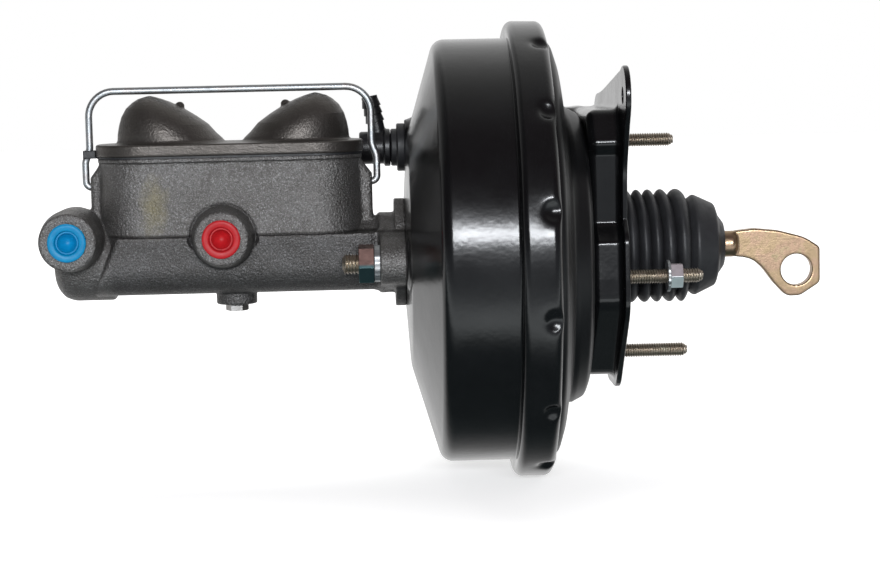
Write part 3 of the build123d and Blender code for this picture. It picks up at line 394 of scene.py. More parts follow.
def rounded(points, bends, step=1.0):
    """A polyline with its inner corners rounded, as dense points."""
    points = [np.asarray(p, dtype=float) for p in points]
    out = [points[0]]
    for n in range(1, len(points) - 1):
        before, here, after = points[n - 1], points[n], points[n + 1]
        u = (before - here) / np.linalg.norm(before - here)
        v = (after - here) / np.linalg.norm(after - here)
        half = math.acos(max(-1.0, min(1.0, float(u @ v)))) / 2
        bend = bends[n - 1]
        if bend <= 0 or math.pi / 2 - half < STRAIGHT:
            out.append(here)
            continue
        reach = bend / math.tan(half)
        centre = here + (u + v) / np.linalg.norm(u + v) * bend / math.sin(half)
        start, end = here + u * reach, here + v * reach
        a0 = math.atan2(*(start - centre)[::-1])
        turn = math.atan2(*(end - centre)[::-1]) - a0
        turn = (turn + math.pi) % (2 * math.pi) - math.pi
        count = max(3, int(abs(turn) / ARC_STEP))
        for k in range(count + 1):
            a = a0 + turn * k / count
            out.append(centre + bend * np.array([math.cos(a), math.sin(a)]))
    out.append(points[-1])
    dense = [out[0]]
    for p in out[1:]:
        gap = np.linalg.norm(p - dense[-1])
        pieces = max(1, int(math.ceil(gap / step)))
        dense += [dense[-1] + (p - dense[-1]) * (k + 1) / pieces for k in range(pieces)]
    return np.array(dense)


def closed_line(corners):
    """A closed outline through corners of (y, z, radius), rounded."""
    count = len(corners)
    wrapped = [corners[(n - 1) % count][:2] for n in range(count + 2)]
    mid = (np.array(wrapped[0]) + np.array(wrapped[1])) / 2
    path = [mid] + [np.array(p) for p in wrapped[1:-1]] + [mid]
    return rounded(path, [corners[n][2] for n in range(count)], 200.0)


def sheet_loop(points, bends, thickness, step=1.0):
    """Closed outline of a bent sheet whose middle line is given."""
    line = rounded(points, bends, step)
    along = headings(line)
    side = np.stack([-along[:, 1], along[:, 0]], axis=1) * thickness / 2
    return np.concatenate([line + side, (line - side)[::-1]])


def lathe(name, profile, node, body, around=160, shape=None, angle=40.0):
    """A turned piece about the X axis."""
    grid = lathe_grid(profile, around)
    if shape:
        grid = shape(grid)
    return finish_mesh(name, grid.reshape(-1, 3), ring_faces(len(profile), around), node, body, angle)


# ------------------------ solids from distance fields
BAND, SETTLE_ROUNDS, SETTLE_REACH = 3, 3, 0.6      # the band and the reach are in grid steps
PROBE = 0.05                            # mm


def smin(a, b, k):
    """Union with a blend of size k."""
    h = np.clip(0.5 + 0.5 * (b - a) / k, 0, 1)
    return b + (a - b) * h - k * h * (1 - h)


def smax(a, b, k):
    """Intersection with a blend of size k."""
    return -smin(-a, -b, k)


def slab(a, low, high):
    """Distance outside an interval, negative inside."""
    return np.abs(a - (low + high) / 2) - (high - low) / 2


def corner(a, b, r=0.0):
    """Intersection of two distances with a rounded edge."""
    a, b = a + r, b + r
    return np.minimum(np.maximum(a, b), 0) + np.hypot(np.maximum(a, 0), np.maximum(b, 0)) - r


def rod(a, b, c, radius, low, high, r=0.0):
    """Round bar: a is along it, b and c are measured from its axis."""
    return corner(np.hypot(b, c) - radius, slab(a, low, high), r)


def plan(x, y, low, high, half, radius):
    """Rounded rectangle in plan."""
    return corner(slab(x, low, high), np.abs(y) - half, radius)


def capsule2(y, z, p, q, rp, rq):
    """Two discs and the space between them, in the Y-Z plane."""
    py, pz = y - p[0], z - p[1]
    qy, qz = q[0] - p[0], q[1] - p[1]
    t = np.clip((py * qy + pz * qz) / (qy * qy + qz * qz), 0, 1)
    return np.hypot(py - qy * t, pz - qz * t) - (rp + (rq - rp) * t)


def two_ears(y, z, root, end):
    """Plate round the axis that reaches both master cylinder studs."""
    return np.minimum(*(capsule2(y, z, (0, 0), ear, root, end) for ear in EARS))


def hexagon(y, z, flats, turn=0.0):
    """Distance to a hexagon with sharp corners."""
    sides = [math.radians(60 * k + turn) for k in range(6)]
    return np.maximum.reduce([y * math.cos(a) + z * math.sin(a) - flats / 2 for a in sides])


def solid(name, field, low, high, step, node, body="housing", instead=True):
    """Meshes a distance field, settles its points on the surface and gives it exact normals."""
    step = step * FINE
    low = np.array(low, dtype=float) - 2 * step
    count = np.ceil((np.array(high) + 2 * step - low) / step).astype(int) + 1
    axes = [(low[n] + step * np.arange(count[n])).astype(np.float32) for n in range(3)]
    x, y, z = axes[0][:, None, None], axes[1][None, :, None], axes[2][None, None, :]
    values = np.ascontiguousarray(np.broadcast_to(field(x, y, z), tuple(count)), dtype=np.float32)
    grid = openvdb.FloatGrid(BAND * step)
    grid.copyFromArray(np.clip(values, -BAND * step, BAND * step))
    points, quads = grid.convertToQuads(isovalue=0.0)
    p = low + points.astype(np.float64) * step
    for _ in range(SETTLE_ROUNDS):
        value, slope = sample(field, p)
        size = np.maximum((slope ** 2).sum(axis=1), 0.25)
        move = slope * (value / size)[:, None]
        p = p - np.clip(move, -SETTLE_REACH * step, SETTLE_REACH * step)
    _, slope = sample(field, p)
    piece = finish_mesh(name, p, quads[:, ::-1], node, body, instead=instead)
    normal = slope / np.maximum(np.linalg.norm(slope, axis=1), 1e-9)[:, None]
    if len(piece.data.vertices) == len(p):
        piece.data.normals_split_custom_set_from_vertices(normal.tolist())


def sample(field, p):
    """Value and slope of a field at scattered points."""
    cut = [p[:, n] for n in range(3)]
    slope = []
    for n in range(3):
        ahead, behind = list(cut), list(cut)
        ahead[n] = cut[n] + PROBE
        behind[n] = cut[n] - PROBE
        slope.append((field(*ahead) - field(*behind)) / (2 * PROBE))
    return field(*cut), np.stack(slope, axis=1)


# ------------------------ master cylinder
# In the fields below, the last number of a call is the radius of its rounded edge or of its blend.
def lower_half(x, y, z):
    """The wide lower part of the casting, with its slanted front end."""
    side = np.abs(y) - BODY_HALF + BODY_DRAFT * np.maximum(9.0 - z, 0)
    front = (NOSE_X + 35.5 - x) * SLANT_COS + (z - BODY_TOP) * SLANT_SIN
    ends = np.maximum(corner(side, front, 3.5), corner(side, x - EAR_X, 8.0))
    ends = np.maximum(ends, corner(front, BODY_BOTTOM - z, 2.0))
    sides = np.maximum(corner(side, slab(z, BODY_BOTTOM, BODY_TOP), 0.9), corner(side, BODY_BOTTOM - z, 16.0))
    return np.maximum(ends, sides)


def boss(x, y, z, px, radius, foot):
    """A round outlet boss that spreads into its foot."""
    away = np.hypot(x - px, z - PORT_Z)
    wide = radius + (foot - radius) * np.clip((y + PORT_FACE - 1.5) / 14.0, 0, 1)
    return corner(away - wide, slab(y, -PORT_FACE, 0), 1.6)


def reservoir(x, y, z):
    """The leaning walls of the tub, and its lip."""
    tub = plan(x, y, TUB_FRONT, TUB_REAR, TUB_HALF, 25.0) + TUB_DRAFT * (z - 30.0)
    lip = corner(plan(x, y, TUB_FRONT - 1, TUB_REAR + 1, LIP_HALF, 26.0), slab(z, TUB_TOP - 2.2, TUB_TOP), 0.7)
    return np.maximum(tub, slab(z, 4.0, TUB_TOP)), lip


def end_rib(x, y, z, wall, out, sign):
    """The rib on an end wall of the tub, which holds the bail's pivot."""
    reach = sign * (x - wall)
    top = ((z - 53.0) * out + np.maximum(reach, 0) * (out + 2)) / math.hypot(out, out + 2)
    rib = corner(np.maximum(reach - out, top), np.abs(y) - 7.5, 2.8)
    return np.maximum(np.maximum(rib, -3.0 - reach), 7.0 - z)


def casting(x, y, z):
    barrel = rod(x, y, z, BARREL_R, NOSE_X + 6, FACE_X - 1)
    nose = smax(rod(x, y, z, NOSE_R, NOSE_X, NOSE_X + 60, 12.5), x - (NOSE_X + 33), 2.5)
    body = smin(smin(barrel, nose, 3.0), lower_half(x, y, z), 1.6)
    tub, lip = reservoir(x, y, z)
    body = smin(smin(body, tub, 0.5), lip, 1.4)

    away = np.hypot(x - REAR_PORT_X, z - PORT_Z)
    scoop = np.maximum(away - SCOOP_R, y + 29.6 - 3.0 * np.clip((SCOOP_R - away) / 2.8, 0, 1))
    body = smax(body, -scoop - 3.5 * np.clip((PORT_Z - 2.0 - z) / 9.0, 0, 1), 0.8)
    body = smin(body, boss(x, y, z, FRONT_PORT_X, 15.6, 17.0), 2.2)
    body = smin(body, boss(x, y, z, REAR_PORT_X, 14.9, 17.2), 1.0)
    for wall, out, sign in ((TUB_REAR, 6.6, 1), (TUB_FRONT, 5.6, -1)):
        body = smin(body, end_rib(x, y, z, wall, out, sign), 2.6)
    body = smin(body, rod(z, x - STOP_X, y, 11.3, STOP_FOOT, 0, 1.0), 2.0)

    flange = rod(x, y, z, 30.0, -125.3, FACE_X, 0.7)
    ears = corner(two_ears(y, z, EAR_ROOT_R, EAR_R), slab(x, EAR_X, FACE_X), 0.9)
    body = smin(body, smin(flange, ears, 1.5), 5.0)
    body = np.minimum(body, rod(x, y, z, 17.2, FACE_X - 2, -107.5, 0.6))
    return hollow(x, y, z, body)


def hollow(x, y, z, body):
    """Cuts the bore, the two chambers and the holes out of the casting."""
    body = np.maximum(body, -rod(x, y, z, BORE_R, -303.0, -90.0))
    for low, high in ((TUB_FRONT + 4.6, TUB_MID - 2.5), (TUB_MID + 2.5, TUB_REAR - 4.6)):
        chamber = np.maximum(plan(x, y, low, high, 24.6, 19.0), 17.0 - z)
        body = smax(body, -chamber, 1.0)
    for px in (FRONT_PORT_X, REAR_PORT_X):
        body = smax(body, -rod(y, x - px, z - PORT_Z, PORT_BORE_R, -60.0, -33.0), 0.5)
    for ey, ez in EARS:
        body = smax(body, -rod(x, y - ey, z - ez, EAR_BORE_R, -140.0, -115.0), 0.4)
    for low, high in ((-300.0, BAIL_FRONT + 6.8), (BAIL_REAR - 6.8, -128.0)):
        body = np.maximum(body, -rod(x, y, z - PIVOT_Z, PIVOT_BORE_R, low, high))
    return smax(body, -rod(z, x - STOP_X, y, 3.2, -29.0, -10.0), 0.3)


# a dome's section: at each level, how far its steep and its sloping side have come in
DOME_LEVEL = [0.0, 0.12, 0.235, 0.405, 0.575, 0.745, 0.865, 0.93, 1.0]
DOME_STEEP = [0.0, 0.1, 0.3, 1.2, 2.6, 5.3, 9.0, 12.0, 18.3]
DOME_SLOPE = [0.0, 2.0, 5.4, 9.5, 16.0, 23.6, 30.4, 35.2, 41.5]
DOME_LENGTH, DOME_HEIGHT, DOME_HALF = 60.0, 27.6, 26.5


def cover(x, y, z):
    """The flat rim and the two leaning domes, each steep at the cover's end."""
    rim = corner(plan(x, y, TUB_FRONT - 2, TUB_REAR + 2, COVER_HALF, 27.0), slab(z, COVER_BOTTOM, COVER_TOP), 1.1)
    for side, steep in ((-1, TUB_FRONT + 9.6), (1, TUB_REAR - 5.5)):
        level = np.clip((z - COVER_TOP + 1) / DOME_HEIGHT, 0, 0.9999)
        near, far = np.interp(level, DOME_LEVEL, DOME_STEEP), np.interp(level, DOME_LEVEL, DOME_SLOPE)
        half = np.maximum((DOME_LENGTH - near - far) / 2, 0.4)
        middle = steep - side * (near + half)
        wide = np.maximum(DOME_HALF * np.sqrt(1 - level ** 2.3), 0.4)
        across = np.hypot((x - middle) / half, y / wide)
        dome = (across - 1) * np.minimum(half, wide) * 0.75
        dome = smax(dome, z - COVER_TOP - 26.4, 1.2)
        dome = np.maximum(dome, 58.0 - z)
        rim = smin(rim, dome, 2.4)
        nub = np.sqrt((x - (steep - side * 35.0)) ** 2 + y ** 2 + (z - COVER_TOP - 20.2) ** 2) - 2.6
        rim = smin(rim, nub, 1.2)
    return rim


def fork(x, y, z):
    """Two upturned prongs of the gasket, one on each side of the bail's front leg."""
    prong = slab(np.abs(y), 2.45, 6.0)
    ledge = np.maximum(slab(x, -296.2, -288.7), slab(z, 56.1, 57.3))
    lip = np.maximum(slab(x, -296.2, -289.3), slab(z, 56.4, 60.4))
    return corner(np.minimum(ledge, lip), prong, 0.5)


solid("casting", casting, (-318.5, -56, -32), (-106.5, 56, 57), 0.75, "cylinder_body")
solid("cover", cover, (-290, -36, 56), (-140, 36, 92), 0.75, "reservoir_cover")
solid("gasket_fork", fork, (-297, -6.5, 55.8), (-288.4, 6.5, 60.8), 0.3, "cover_gasket", instead=False)


# ------------------------ booster shells
def press_face(grid):
    """Presses the flat pads and the dents in the front shell's lathe."""
    x, y, z = grid[..., 0], grid[..., 1], grid[..., 2]
    inner = (np.arange(len(grid)) >= len(grid) // 2)[:, None]
    front = np.hypot(y, z) < 90
    pads = ((two_ears(y, z, PAD_ROOT_R, PAD_R), FACE_X),
            (np.hypot(y - VALVE_Y, z - VALVE_Z) - VALVE_PAD_R, VALVE_SEAT))
    for distance, plane in pads:
        ease = np.clip(0.5 - distance / 3.0, 0, 1)
        ease = ease * ease * (3 - 2 * ease)
        target = np.minimum(x, plane + np.where(inner, SHEET, 0.0))
        x = np.where(front, x + (target - x) * ease, x)
    for k in range(DENTS):
        a = math.radians(90 + 360 * k / DENTS)
        centre = np.array([DENT_X, DENT_RING * math.cos(a), DENT_RING * math.sin(a)])
        gap = np.stack([x, y, z], axis=-1) - centre
        far = np.linalg.norm(gap, axis=-1)
        radius = np.where(inner, DENT_R + 1.35, DENT_R)
        scale = np.cbrt(1 + (radius / np.maximum(far, 1e-3)) ** 3)
        x, y, z = (centre[n] + gap[..., n] * scale for n in range(3))
    return np.stack([x, y, z], axis=-1)


def front_shell():
    line = [(FACE_X + 0.9, 18.6), (FACE_X + 0.9, 31.0), (-116.4, 63.5), (-100.6, 116.6),
            (-61.1, 116.6), (-61.1, 125.9), (-42.6, 125.9), (-42.6, 117.8)]
    profile = sheet_loop(line, [6.0, 20.0, 6.5, 2.4, 3.6, 3.6], SHEET, 0.9 * FINE)
    if profile[0][0] > profile[-1][0]:  # the outer side comes first
        profile = profile[::-1]
    lathe("shell_front", profile, "front_shell", "housing", DENTS * 40, press_face)


def sink_step(grid):
    """Lowers the rear shell's step a little, since it is not quite round the axis."""
    x, away = grid[..., 0], np.hypot(grid[..., 1], grid[..., 2])
    grid[..., 2] -= 4.0 * (np.clip((x + 35) / 6, 0, 1) * np.clip((away - 45) / 25, 0, 1))
    return grid


def rear_shell():
    line = [(-51.7, 123.8), (-51.7, 115.4), (-39.4, 115.4), (-36.4, 106.0), (-32.6, 83.5), (-23.2, 78.6),
            (-21.4, 74.0), (-21.4, 27.1), (-10.4, 27.1), (-10.4, 21.4)]
    profile = sheet_loop(line, [1.8, 4.0, 8.0, 3.6, 3.0, 3.0, 1.8, 1.8], SHEET, 1.2)
    lathe("shell_rear", profile, "rear_shell", "housing", 256, sink_step)


front_shell()
rear_shell()


# ------------------------ firewall bracket
WALL_LINE = [(-38.0, 77.5, 7.0), (-49.5, 60.0, 4.0), (-45.5, 53.0, 4.0), (-42.5, 15.5, 4.0), (-52.3, 6.5, 4.0),
             (-53.0, -14.0, 8.0), (-53.0, -27.5, 12.0), (-2.0, -72.5, 16.0), (41.0, -72.5, 12.0),
             (46.0, -30.0, 30.0), (48.0, 22.0, 14.0), (86.0, 38.0, 12.0), (90.0, 77.5, 12.0)]


def outline_field(loop, low, high, step=0.5):
    """A looked-up signed distance to a closed outline in a plane."""
    places = np.arange(low, high, step)
    y, z = np.meshgrid(places, places, indexing="ij")
    best, inside = np.full(y.shape, 1e9), np.zeros(y.shape, dtype=bool)
    for a, b in zip(loop, np.roll(loop, -1, axis=0)):
        edge = b - a
        size = float(edge @ edge)
        if size < 1e-12:
            continue
        t = np.clip(((y - a[0]) * edge[0] + (z - a[1]) * edge[1]) / size, 0, 1)
        best = np.minimum(best, np.hypot(y - a[0] - edge[0] * t, z - a[1] - edge[1] * t))
        if a[1] != b[1]:
            cross = ((a[1] > z) != (b[1] > z)) & (y < (b[0] - a[0]) * (z - a[1]) / (b[1] - a[1]) + a[0])
            inside ^= cross
    table = np.where(inside, -best, best)

    def look(y, z):
        u = np.clip((y - low) / step, 0, len(places) - 1.001)
        v = np.clip((z - low) / step, 0, len(places) - 1.001)
        i, j = u.astype(int), v.astype(int)
        fu, fv = u - i, v - j
        return ((table[i, j] * (1 - fu) + table[i + 1, j] * fu) * (1 - fv)
                + (table[i, j + 1] * (1 - fu) + table[i + 1, j + 1] * fu) * fv)

    return look


WALL = outline_field(closed_line(WALL_LINE), -120.0, 120.0)


def bracket(x, y, z):
    """The drawn box, its deeper pocket at the upper stud, the plate round it and its ear."""
    wall = WALL(y, z)
    box = np.maximum(corner(wall, PLATEAU_X - x, 5.5), x + 1.5)
    inside = np.maximum(corner(wall + BRACKET_SHEET, PLATEAU_X + BRACKET_SHEET - x, 1.8), x - 30)
    deep = np.maximum(corner(wall, np.hypot(y - 74, z - 57) - 34, 3.0), 82 - np.hypot(y, z))
    deep = np.maximum(corner(deep, PLATEAU_X - 7 - x, 4.5), x + 14)
    shell = np.maximum(smin(box, deep, 2.0), -inside)
    outline = wall - 7.0
    outline = smin(outline, capsule2(y, z, EAR_HOLE, (74.0, 67.5), 15.0, 16.0), 4.0)
    outline = smin(outline, capsule2(y, z, EAR_HOLE, (-36.0, 42.0), 15.0, 12.0), 4.0)
    plate = corner(outline, slab(x, -3.0, 0.0), 0.8)
    body = smin(shell, plate, 4.5)
    body = np.minimum(np.maximum(body, -np.maximum(inside, x + 3.0)), plate)
    body = np.maximum(body, x)
    body = smax(body, -(np.hypot(y, z) - CENTRE_HOLE_R), 0.8)
    for (sy, sz), hole in zip(STUDS, STUD_HOLES):
        body = np.maximum(body, -np.maximum(np.hypot(y - sy, z - sz) - hole, -4.5 - x))
    for sy, sz in SHELL_STUDS:
        body = np.maximum(body, -np.maximum(np.hypot(y - sy, z - sz) - SHELL_HOLE, x + 15.0))
    return smax(body, -(np.hypot(y - EAR_HOLE[0], z - EAR_HOLE[1]) - EAR_HOLE_R), 0.5)


solid("bracket", bracket, (-28.5, -76, -81), (0.5, 98, 100.5), 0.7, "firewall_bracket")


# ------------------------ threads, nuts and washers
ROWS_PER_TURN, RUN_IN, TIP_SHARE = 9, 0.8, 0.42


def thread_grid(radius, start, end, pitch, depth, before, tip=1.6, around=36):
    """A threaded rod along X with a tapered tip; before is the (x, radius) line of its head and neck."""
    sign = 1 if end > start else -1
    length = abs(end - start)
    along = np.linspace(0, length, int(length / pitch * ROWS_PER_TURN))
    taper = np.clip((along - (length - tip)) / tip, 0, 1)
    base = radius - taper * radius * TIP_SHARE
    angle = circle(around)
    phase = (along[:, None] / pitch - angle[None, :] / (2 * math.pi)) % 1.0
    wave = np.clip(np.abs(phase * 2 - 1) * 1.25 - 0.12, 0, 1)
    ease = np.clip(along / RUN_IN, 0, 1)[:, None] * (1 - taper[:, None] * 0.5)
    r = base[:, None] - depth * wave * ease
    x = np.repeat((start + sign * along)[:, None], around, 1)
    thread = np.stack([x, r * np.cos(angle), r * np.sin(angle)], axis=-1)
    return np.concatenate([lathe_grid(before, around), thread, lathe_grid([(end, 0.0)], around)])


def head_line(start, end, head, *neck):
    """Line of a round head between two places, with the neck after it."""
    edge = 0.5 if end > start else -0.5
    return [(start, 0.0), (start, head - 0.5), (start + edge, head), (end, head), *neck]


def gather(name, places, grids, node, body, closed, angle):
    """One piece of several grids, each moved to its (y, z) place."""
    verts, faces, used = [], [], 0
    for (py, pz), grid in zip(places, grids):
        verts.append(grid.reshape(-1, 3) + np.array([0, py, pz]))
        faces.append(ring_faces(len(grid), grid.shape[1], closed) + used)
        used += len(verts[-1])
    finish_mesh(name, np.concatenate(verts), np.concatenate(faces), node, body, angle)


def threaded(name, places, grids, node):
    gather(name, places, grids, node, "housing", False, 60)


def firewall_rod(shoulder):
    """A stud: head, neck up to the shoulder with its knurl not drawn, relief, thread and pointed tip."""
    neck = [(-3.0, 4.4), (shoulder - 0.3, 4.4), (shoulder, 4.1), (shoulder, 3.4), (shoulder + 0.7, 3.4)]
    line = head_line(-6.0, -3.0, 7.5, *neck)
    return thread_grid(STUD_R, shoulder + 0.9, STUD_END, 1.41, 0.62, line, 2.6)


threaded("studs_firewall", STUDS, [firewall_rod(shoulder) for shoulder in (0.0, SHOULDER, 0.0)], "firewall_studs")
CYLINDER_ROD = thread_grid(5.55, -114.7, -154.3, 1.81, 0.9, head_line(-111.7, -114.7, 8.55), 1.2, 44)
threaded("studs_cylinder", EARS, [CYLINDER_ROD] * len(EARS), "mc_studs")
SHELL_ROD = thread_grid(3.9, -22.3, -7.5, 1.41, 0.6, head_line(-25.3, -22.3, 7.5), 1.2)
threaded("studs_shell", SHELL_STUDS, [SHELL_ROD] * len(SHELL_STUDS), "shell_studs")


def chamfer(far, out, flats, share=0.272):
    """The cone that takes the corners off a hexagon's end."""
    return far * 0.5 + out * 0.866 - flats * share


def nuts(name, places, flats, start, end, hole, turn, node, step=0.3):
    """Hexagon nuts with chamfered corners."""
    def one(x, y, z):
        far = np.hypot(y, z)
        cones = np.maximum(chamfer(far, x - end, flats), chamfer(far, start - x, flats))
        prism = np.maximum(hexagon(y, z, flats, turn), cones)
        return smax(corner(prism, slab(x, start, end), 0.25), -(far - hole), 0.3)

    for n, (py, pz) in enumerate(places):
        def field(x, y, z):
            return one(x, y - py, z - pz)

        reach = flats * 0.6
        solid(f"{name}_{n + 1}" if len(places) > 1 else name, field, (start, py - reach, pz - reach),
              (end, py + reach, pz + reach), step, node)


nuts("nut_firewall", [STUDS[0]], 12.7, 23.5, 30.3, 3.6, 30, "firewall_nut", 0.25)
nuts("nut_cylinder", EARS, 19.0, -145.5, -137.1, 5.0, 38, "mc_nuts")
nuts("nut_shell", SHELL_STUDS, 12.7, -17.9, -11.4, 3.6, 30, "shell_stud_nuts", 0.4)


def ring_profile(inner, outer, start, end, edge=0.3):
    return rounded([(start, inner), (start, outer), (end, outer), (end, inner), (start, inner)], [edge] * 3, 2.0)[:-1]


TEETH, TOOTH_LENGTH = 16, 3.2


def rings(name, places, profile, node, around=72, depth=0.0):
    """Washers or collars at (y, z) places, with a serrated edge where a depth is given."""
    grid = lathe_grid(profile, around)
    if depth:
        outer = profile[:, 1].max()
        share = np.clip((profile[:, 1] - outer + TOOTH_LENGTH) / TOOTH_LENGTH, 0, 1)
        teeth = np.clip(0.5 + 1.2 * np.sin(circle(around) * TEETH), 0, 1)
        grid[..., 1:] *= (1 - depth * share[:, None] * teeth[None, :])[..., None]
    gather(name, places, [grid] * len(places), node, "housing", True, 35)


rings("washer_firewall", [STUDS[0]], ring_profile(4.3, 8.6, 21.9, 23.5), "firewall_washer", 128, 0.03)
rings("washer_cylinder", EARS, ring_profile(5.8, 10.0, -137.1, EAR_X, 0.5), "mc_washers", 128, 0.02)
rings("collar_stud", [STUDS[1]], ring_profile(4.45, 5.9, -3.0, SHOULDER, 0.5), "stud_collar")


# ------------------------ bail, plugs, valve
BAIL_AROUND = 28


def bail():
    """The wire clip, with flat sheared ends."""
    kink, pivot = 2.6, 8.6
    corners = [(BAIL_FRONT - kink + pivot, PIVOT_Z), (BAIL_FRONT - kink, PIVOT_Z), (BAIL_FRONT - kink, 54.0),
               (BAIL_FRONT, BAIL_KINK_Z), (BAIL_FRONT, BAIL_TOP), (BAIL_REAR, BAIL_TOP), (BAIL_REAR, BAIL_KINK_Z),
               (BAIL_REAR + kink, 54.0), (BAIL_REAR + kink, PIVOT_Z), (BAIL_REAR + kink - pivot, PIVOT_Z)]
    line = rounded(corners, [3.2, 8.0, 8.0, 14.0, 14.0, 8.0, 8.0, 3.2], 3.0)
    path = np.stack([line[:, 0], np.zeros(len(line)), line[:, 1]], axis=1)
    along = headings(path)
    across = np.array([[0.0, 1.0, 0.0]])
    up = np.cross(along, across)
    up /= np.linalg.norm(up, axis=1)[:, None]
    grid = tube_grid(path, WIRE_R, across, up, BAIL_AROUND)

    def end(ring, centre, inward):
        """The closed end: centre, edge of the cut, and the ring a little further in."""
        return [np.broadcast_to(centre, ring.shape), centre + (ring - centre) * 0.82, ring + inward * 0.35]

    first, last = end(grid[:1], path[0], along[0]), end(grid[-1:], path[-1], -along[-1])
    full = np.concatenate([*first, grid[2:-2], *last[::-1]])
    finish_mesh("bail", full.reshape(-1, 3), ring_faces(len(full), BAIL_AROUND, False), "bail_wire", "bail", 50)


bail()

# depth from the outlet's face, and radius, from the stem's end round to the middle of the recess
PLUG_LINE = [(8.0, 0.0), (8.0, 4.9), (7.2, 5.35), (0.0, 5.4), (0.0, 9.6), (-0.8, 10.35), (-1.9, 10.35), (-2.5, 9.8),
             (-2.6, 9.2), (-2.6, 7.2), (-2.3, 6.7), (-1.0, 6.3), (0.6, 5.9), (2.0, 5.2), (3.6, 4.2), (5.0, 3.0),
             (5.9, 1.8), (6.3, 0.9), (6.4, 0.0)]


def plug(name, px, node, body):
    """Soft plug: rounded collar and a hollow stem with a conical recess, turned about Y."""
    face = -PORT_FACE - 0.05
    grid = lathe_grid(PLUG_LINE, 72)
    turned = np.stack([grid[..., 1] + px, grid[..., 0] + face, grid[..., 2] + PORT_Z], axis=-1)
    finish_mesh(name, turned.reshape(-1, 3), ring_faces(len(PLUG_LINE), 72, False), node, body, 42)


plug("plug_front", FRONT_PORT_X, "front_port_plug", "front_plug")
plug("plug_rear", REAR_PORT_X, "rear_port_plug", "rear_plug")

GROMMET_LINE = rounded(
    [(VALVE_SEAT + x, r) for x, r in ((-8, 5.56), (-8, 10.6), (-4.6, 10.6), (-4.6, 13.6), (-0.02, 13.6),
                                      (-0.02, 7.55), (1.8, 7.55), (1.8, 11.1), (4.8, 9.0), (4.8, 5.56), (-8, 5.56))],
    [1.0, 0.4, 0.9, 0.6, 0.2, 0.2, 0.6, 0.6, 0.3], 1.5)[:-1]
rings("grommet", [(VALVE_Y, VALVE_Z)], GROMMET_LINE, "valve_grommet", 96)

NIPPLE_R, FIRST_BARB, LAST_BARB, BARB_PITCH = 4.6, 15.0, 28.2, 4.4


def valve(x, y, z):
    """Elbow valve: round body with two steps at the grommet, and the barbed nipple."""
    y, z = y - VALVE_Y, z - VALVE_Z
    face = VALVE_SEAT - 8.3
    body = rod(x, y, z, 9.25, face - 17.6, face, 1.5)
    body = smin(body, rod(x, y, z, 10.65, face - 3.5, face, 0.6), 0.8)
    body = np.minimum(body, rod(x, y, z, 5.5, face - 1, VALVE_SEAT + 6.8, 0.8))
    lean = math.radians(12.0)
    mx = x - (face - 5.1)
    along = z * math.cos(lean) - mx * math.sin(lean)
    away = np.hypot(mx * math.cos(lean) + z * math.sin(lean), y)
    barb = 5.5 - ((along - FIRST_BARB) % BARB_PITCH) / BARB_PITCH * 0.9
    barb = np.where((along > FIRST_BARB) & (along <= LAST_BARB), barb, NIPPLE_R)
    body = smin(body, corner(away - barb, slab(along, 0, 30.0), 0.4) * 0.9, 1.2)
    return np.maximum(body, -np.maximum(away - 2.6, 14.0 - along))


def screw(x, y, z):
    """The stop screw under the casting."""
    x = x - STOP_X
    head = np.maximum(hexagon(x, y, STOP_FLATS, 30), slab(z, STOP_END, STOP_FOOT))
    head = np.maximum(head, chamfer(np.hypot(x, y), STOP_END - z, STOP_FLATS, 0.262))
    shank = rod(z, x, y, 3.15, -27.0, -12.7, 0.2)
    return np.minimum(smin(head, shank, 0.2), rod(z, x, y, 2.5, -14.0, -11.4, 0.3))


solid("valve", valve, (-146, 21, 44), (-109, 47, 89), 0.45, "check_valve", "vacuum_valve")
solid("stop_bolt", screw, (STOP_X - 7, -7, -31), (STOP_X + 7, 7, -11), 0.3, "stop_screw")


# ------------------------ dust boot and pedal rod
BOOT_START, BOOT_END, BOOT_R, FOLD_R, RUBBER = -13.0, 38.0, 27.3, 31.6, 1.7
VALLEYS = [BOOT_START, -5.8, 1.6, 9.0, 15.7, 22.3, 29.8, BOOT_END - 0.5]


def lean_folds(grid):
    """Leans the folds a little and makes them uneven, less towards both ends."""
    x, z = grid[..., 0], grid[..., 2]
    amount = np.clip((x + 5) / 20, 0, 1) * np.clip((BOOT_END - x) / 8, 0, 1)
    grid[..., 0] = x + amount * (-0.055 * z + 0.35 * np.sin(3 * np.arctan2(z, grid[..., 1])))
    return grid


def boot():
    """Bellows with round folds that lean a little, up to the moulded end."""
    outer = [(-19.5, 30.3), (BOOT_START - 1.0, 30.3)]
    for low, high in zip(VALLEYS, VALLEYS[1:]):
        outer += [(low + (high - low) * t, BOOT_R + (FOLD_R - BOOT_R) * math.sin(math.pi * t) ** 0.72)
                  for t in np.linspace(0, 1, 17)[:-1]]
    inner = [(x, r - RUBBER) for x, r in outer] + [(BOOT_END, 24.1)]
    outer.append((BOOT_END, 25.8))
    piece = lathe("boot_folds", outer + inner[::-1], "boot_bellows", "housing", 144, lean_folds, angle=70)
    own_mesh(piece)


boot()
END_LINE = rounded(
    [(BOOT_END, 19.7), (BOOT_END, 25.4), (42.0, 28.4), (53.5, 23.0), (55.5, 17.0), (58.8, 12.4), (58.8, 9.9),
     (55.8, 9.9), (53.8, 15.0), (41.3, 18.0), (41.3, 19.7), (BOOT_END, 19.7)],
    [0.6, 2.2, 2.6, 1.6, 0.9, 0.6, 0.8, 1.0, 0.3, 0.3], 1.5)[:-1]
lathe("boot_end", END_LINE, "boot_collar", "power_piston", 144, angle=70)

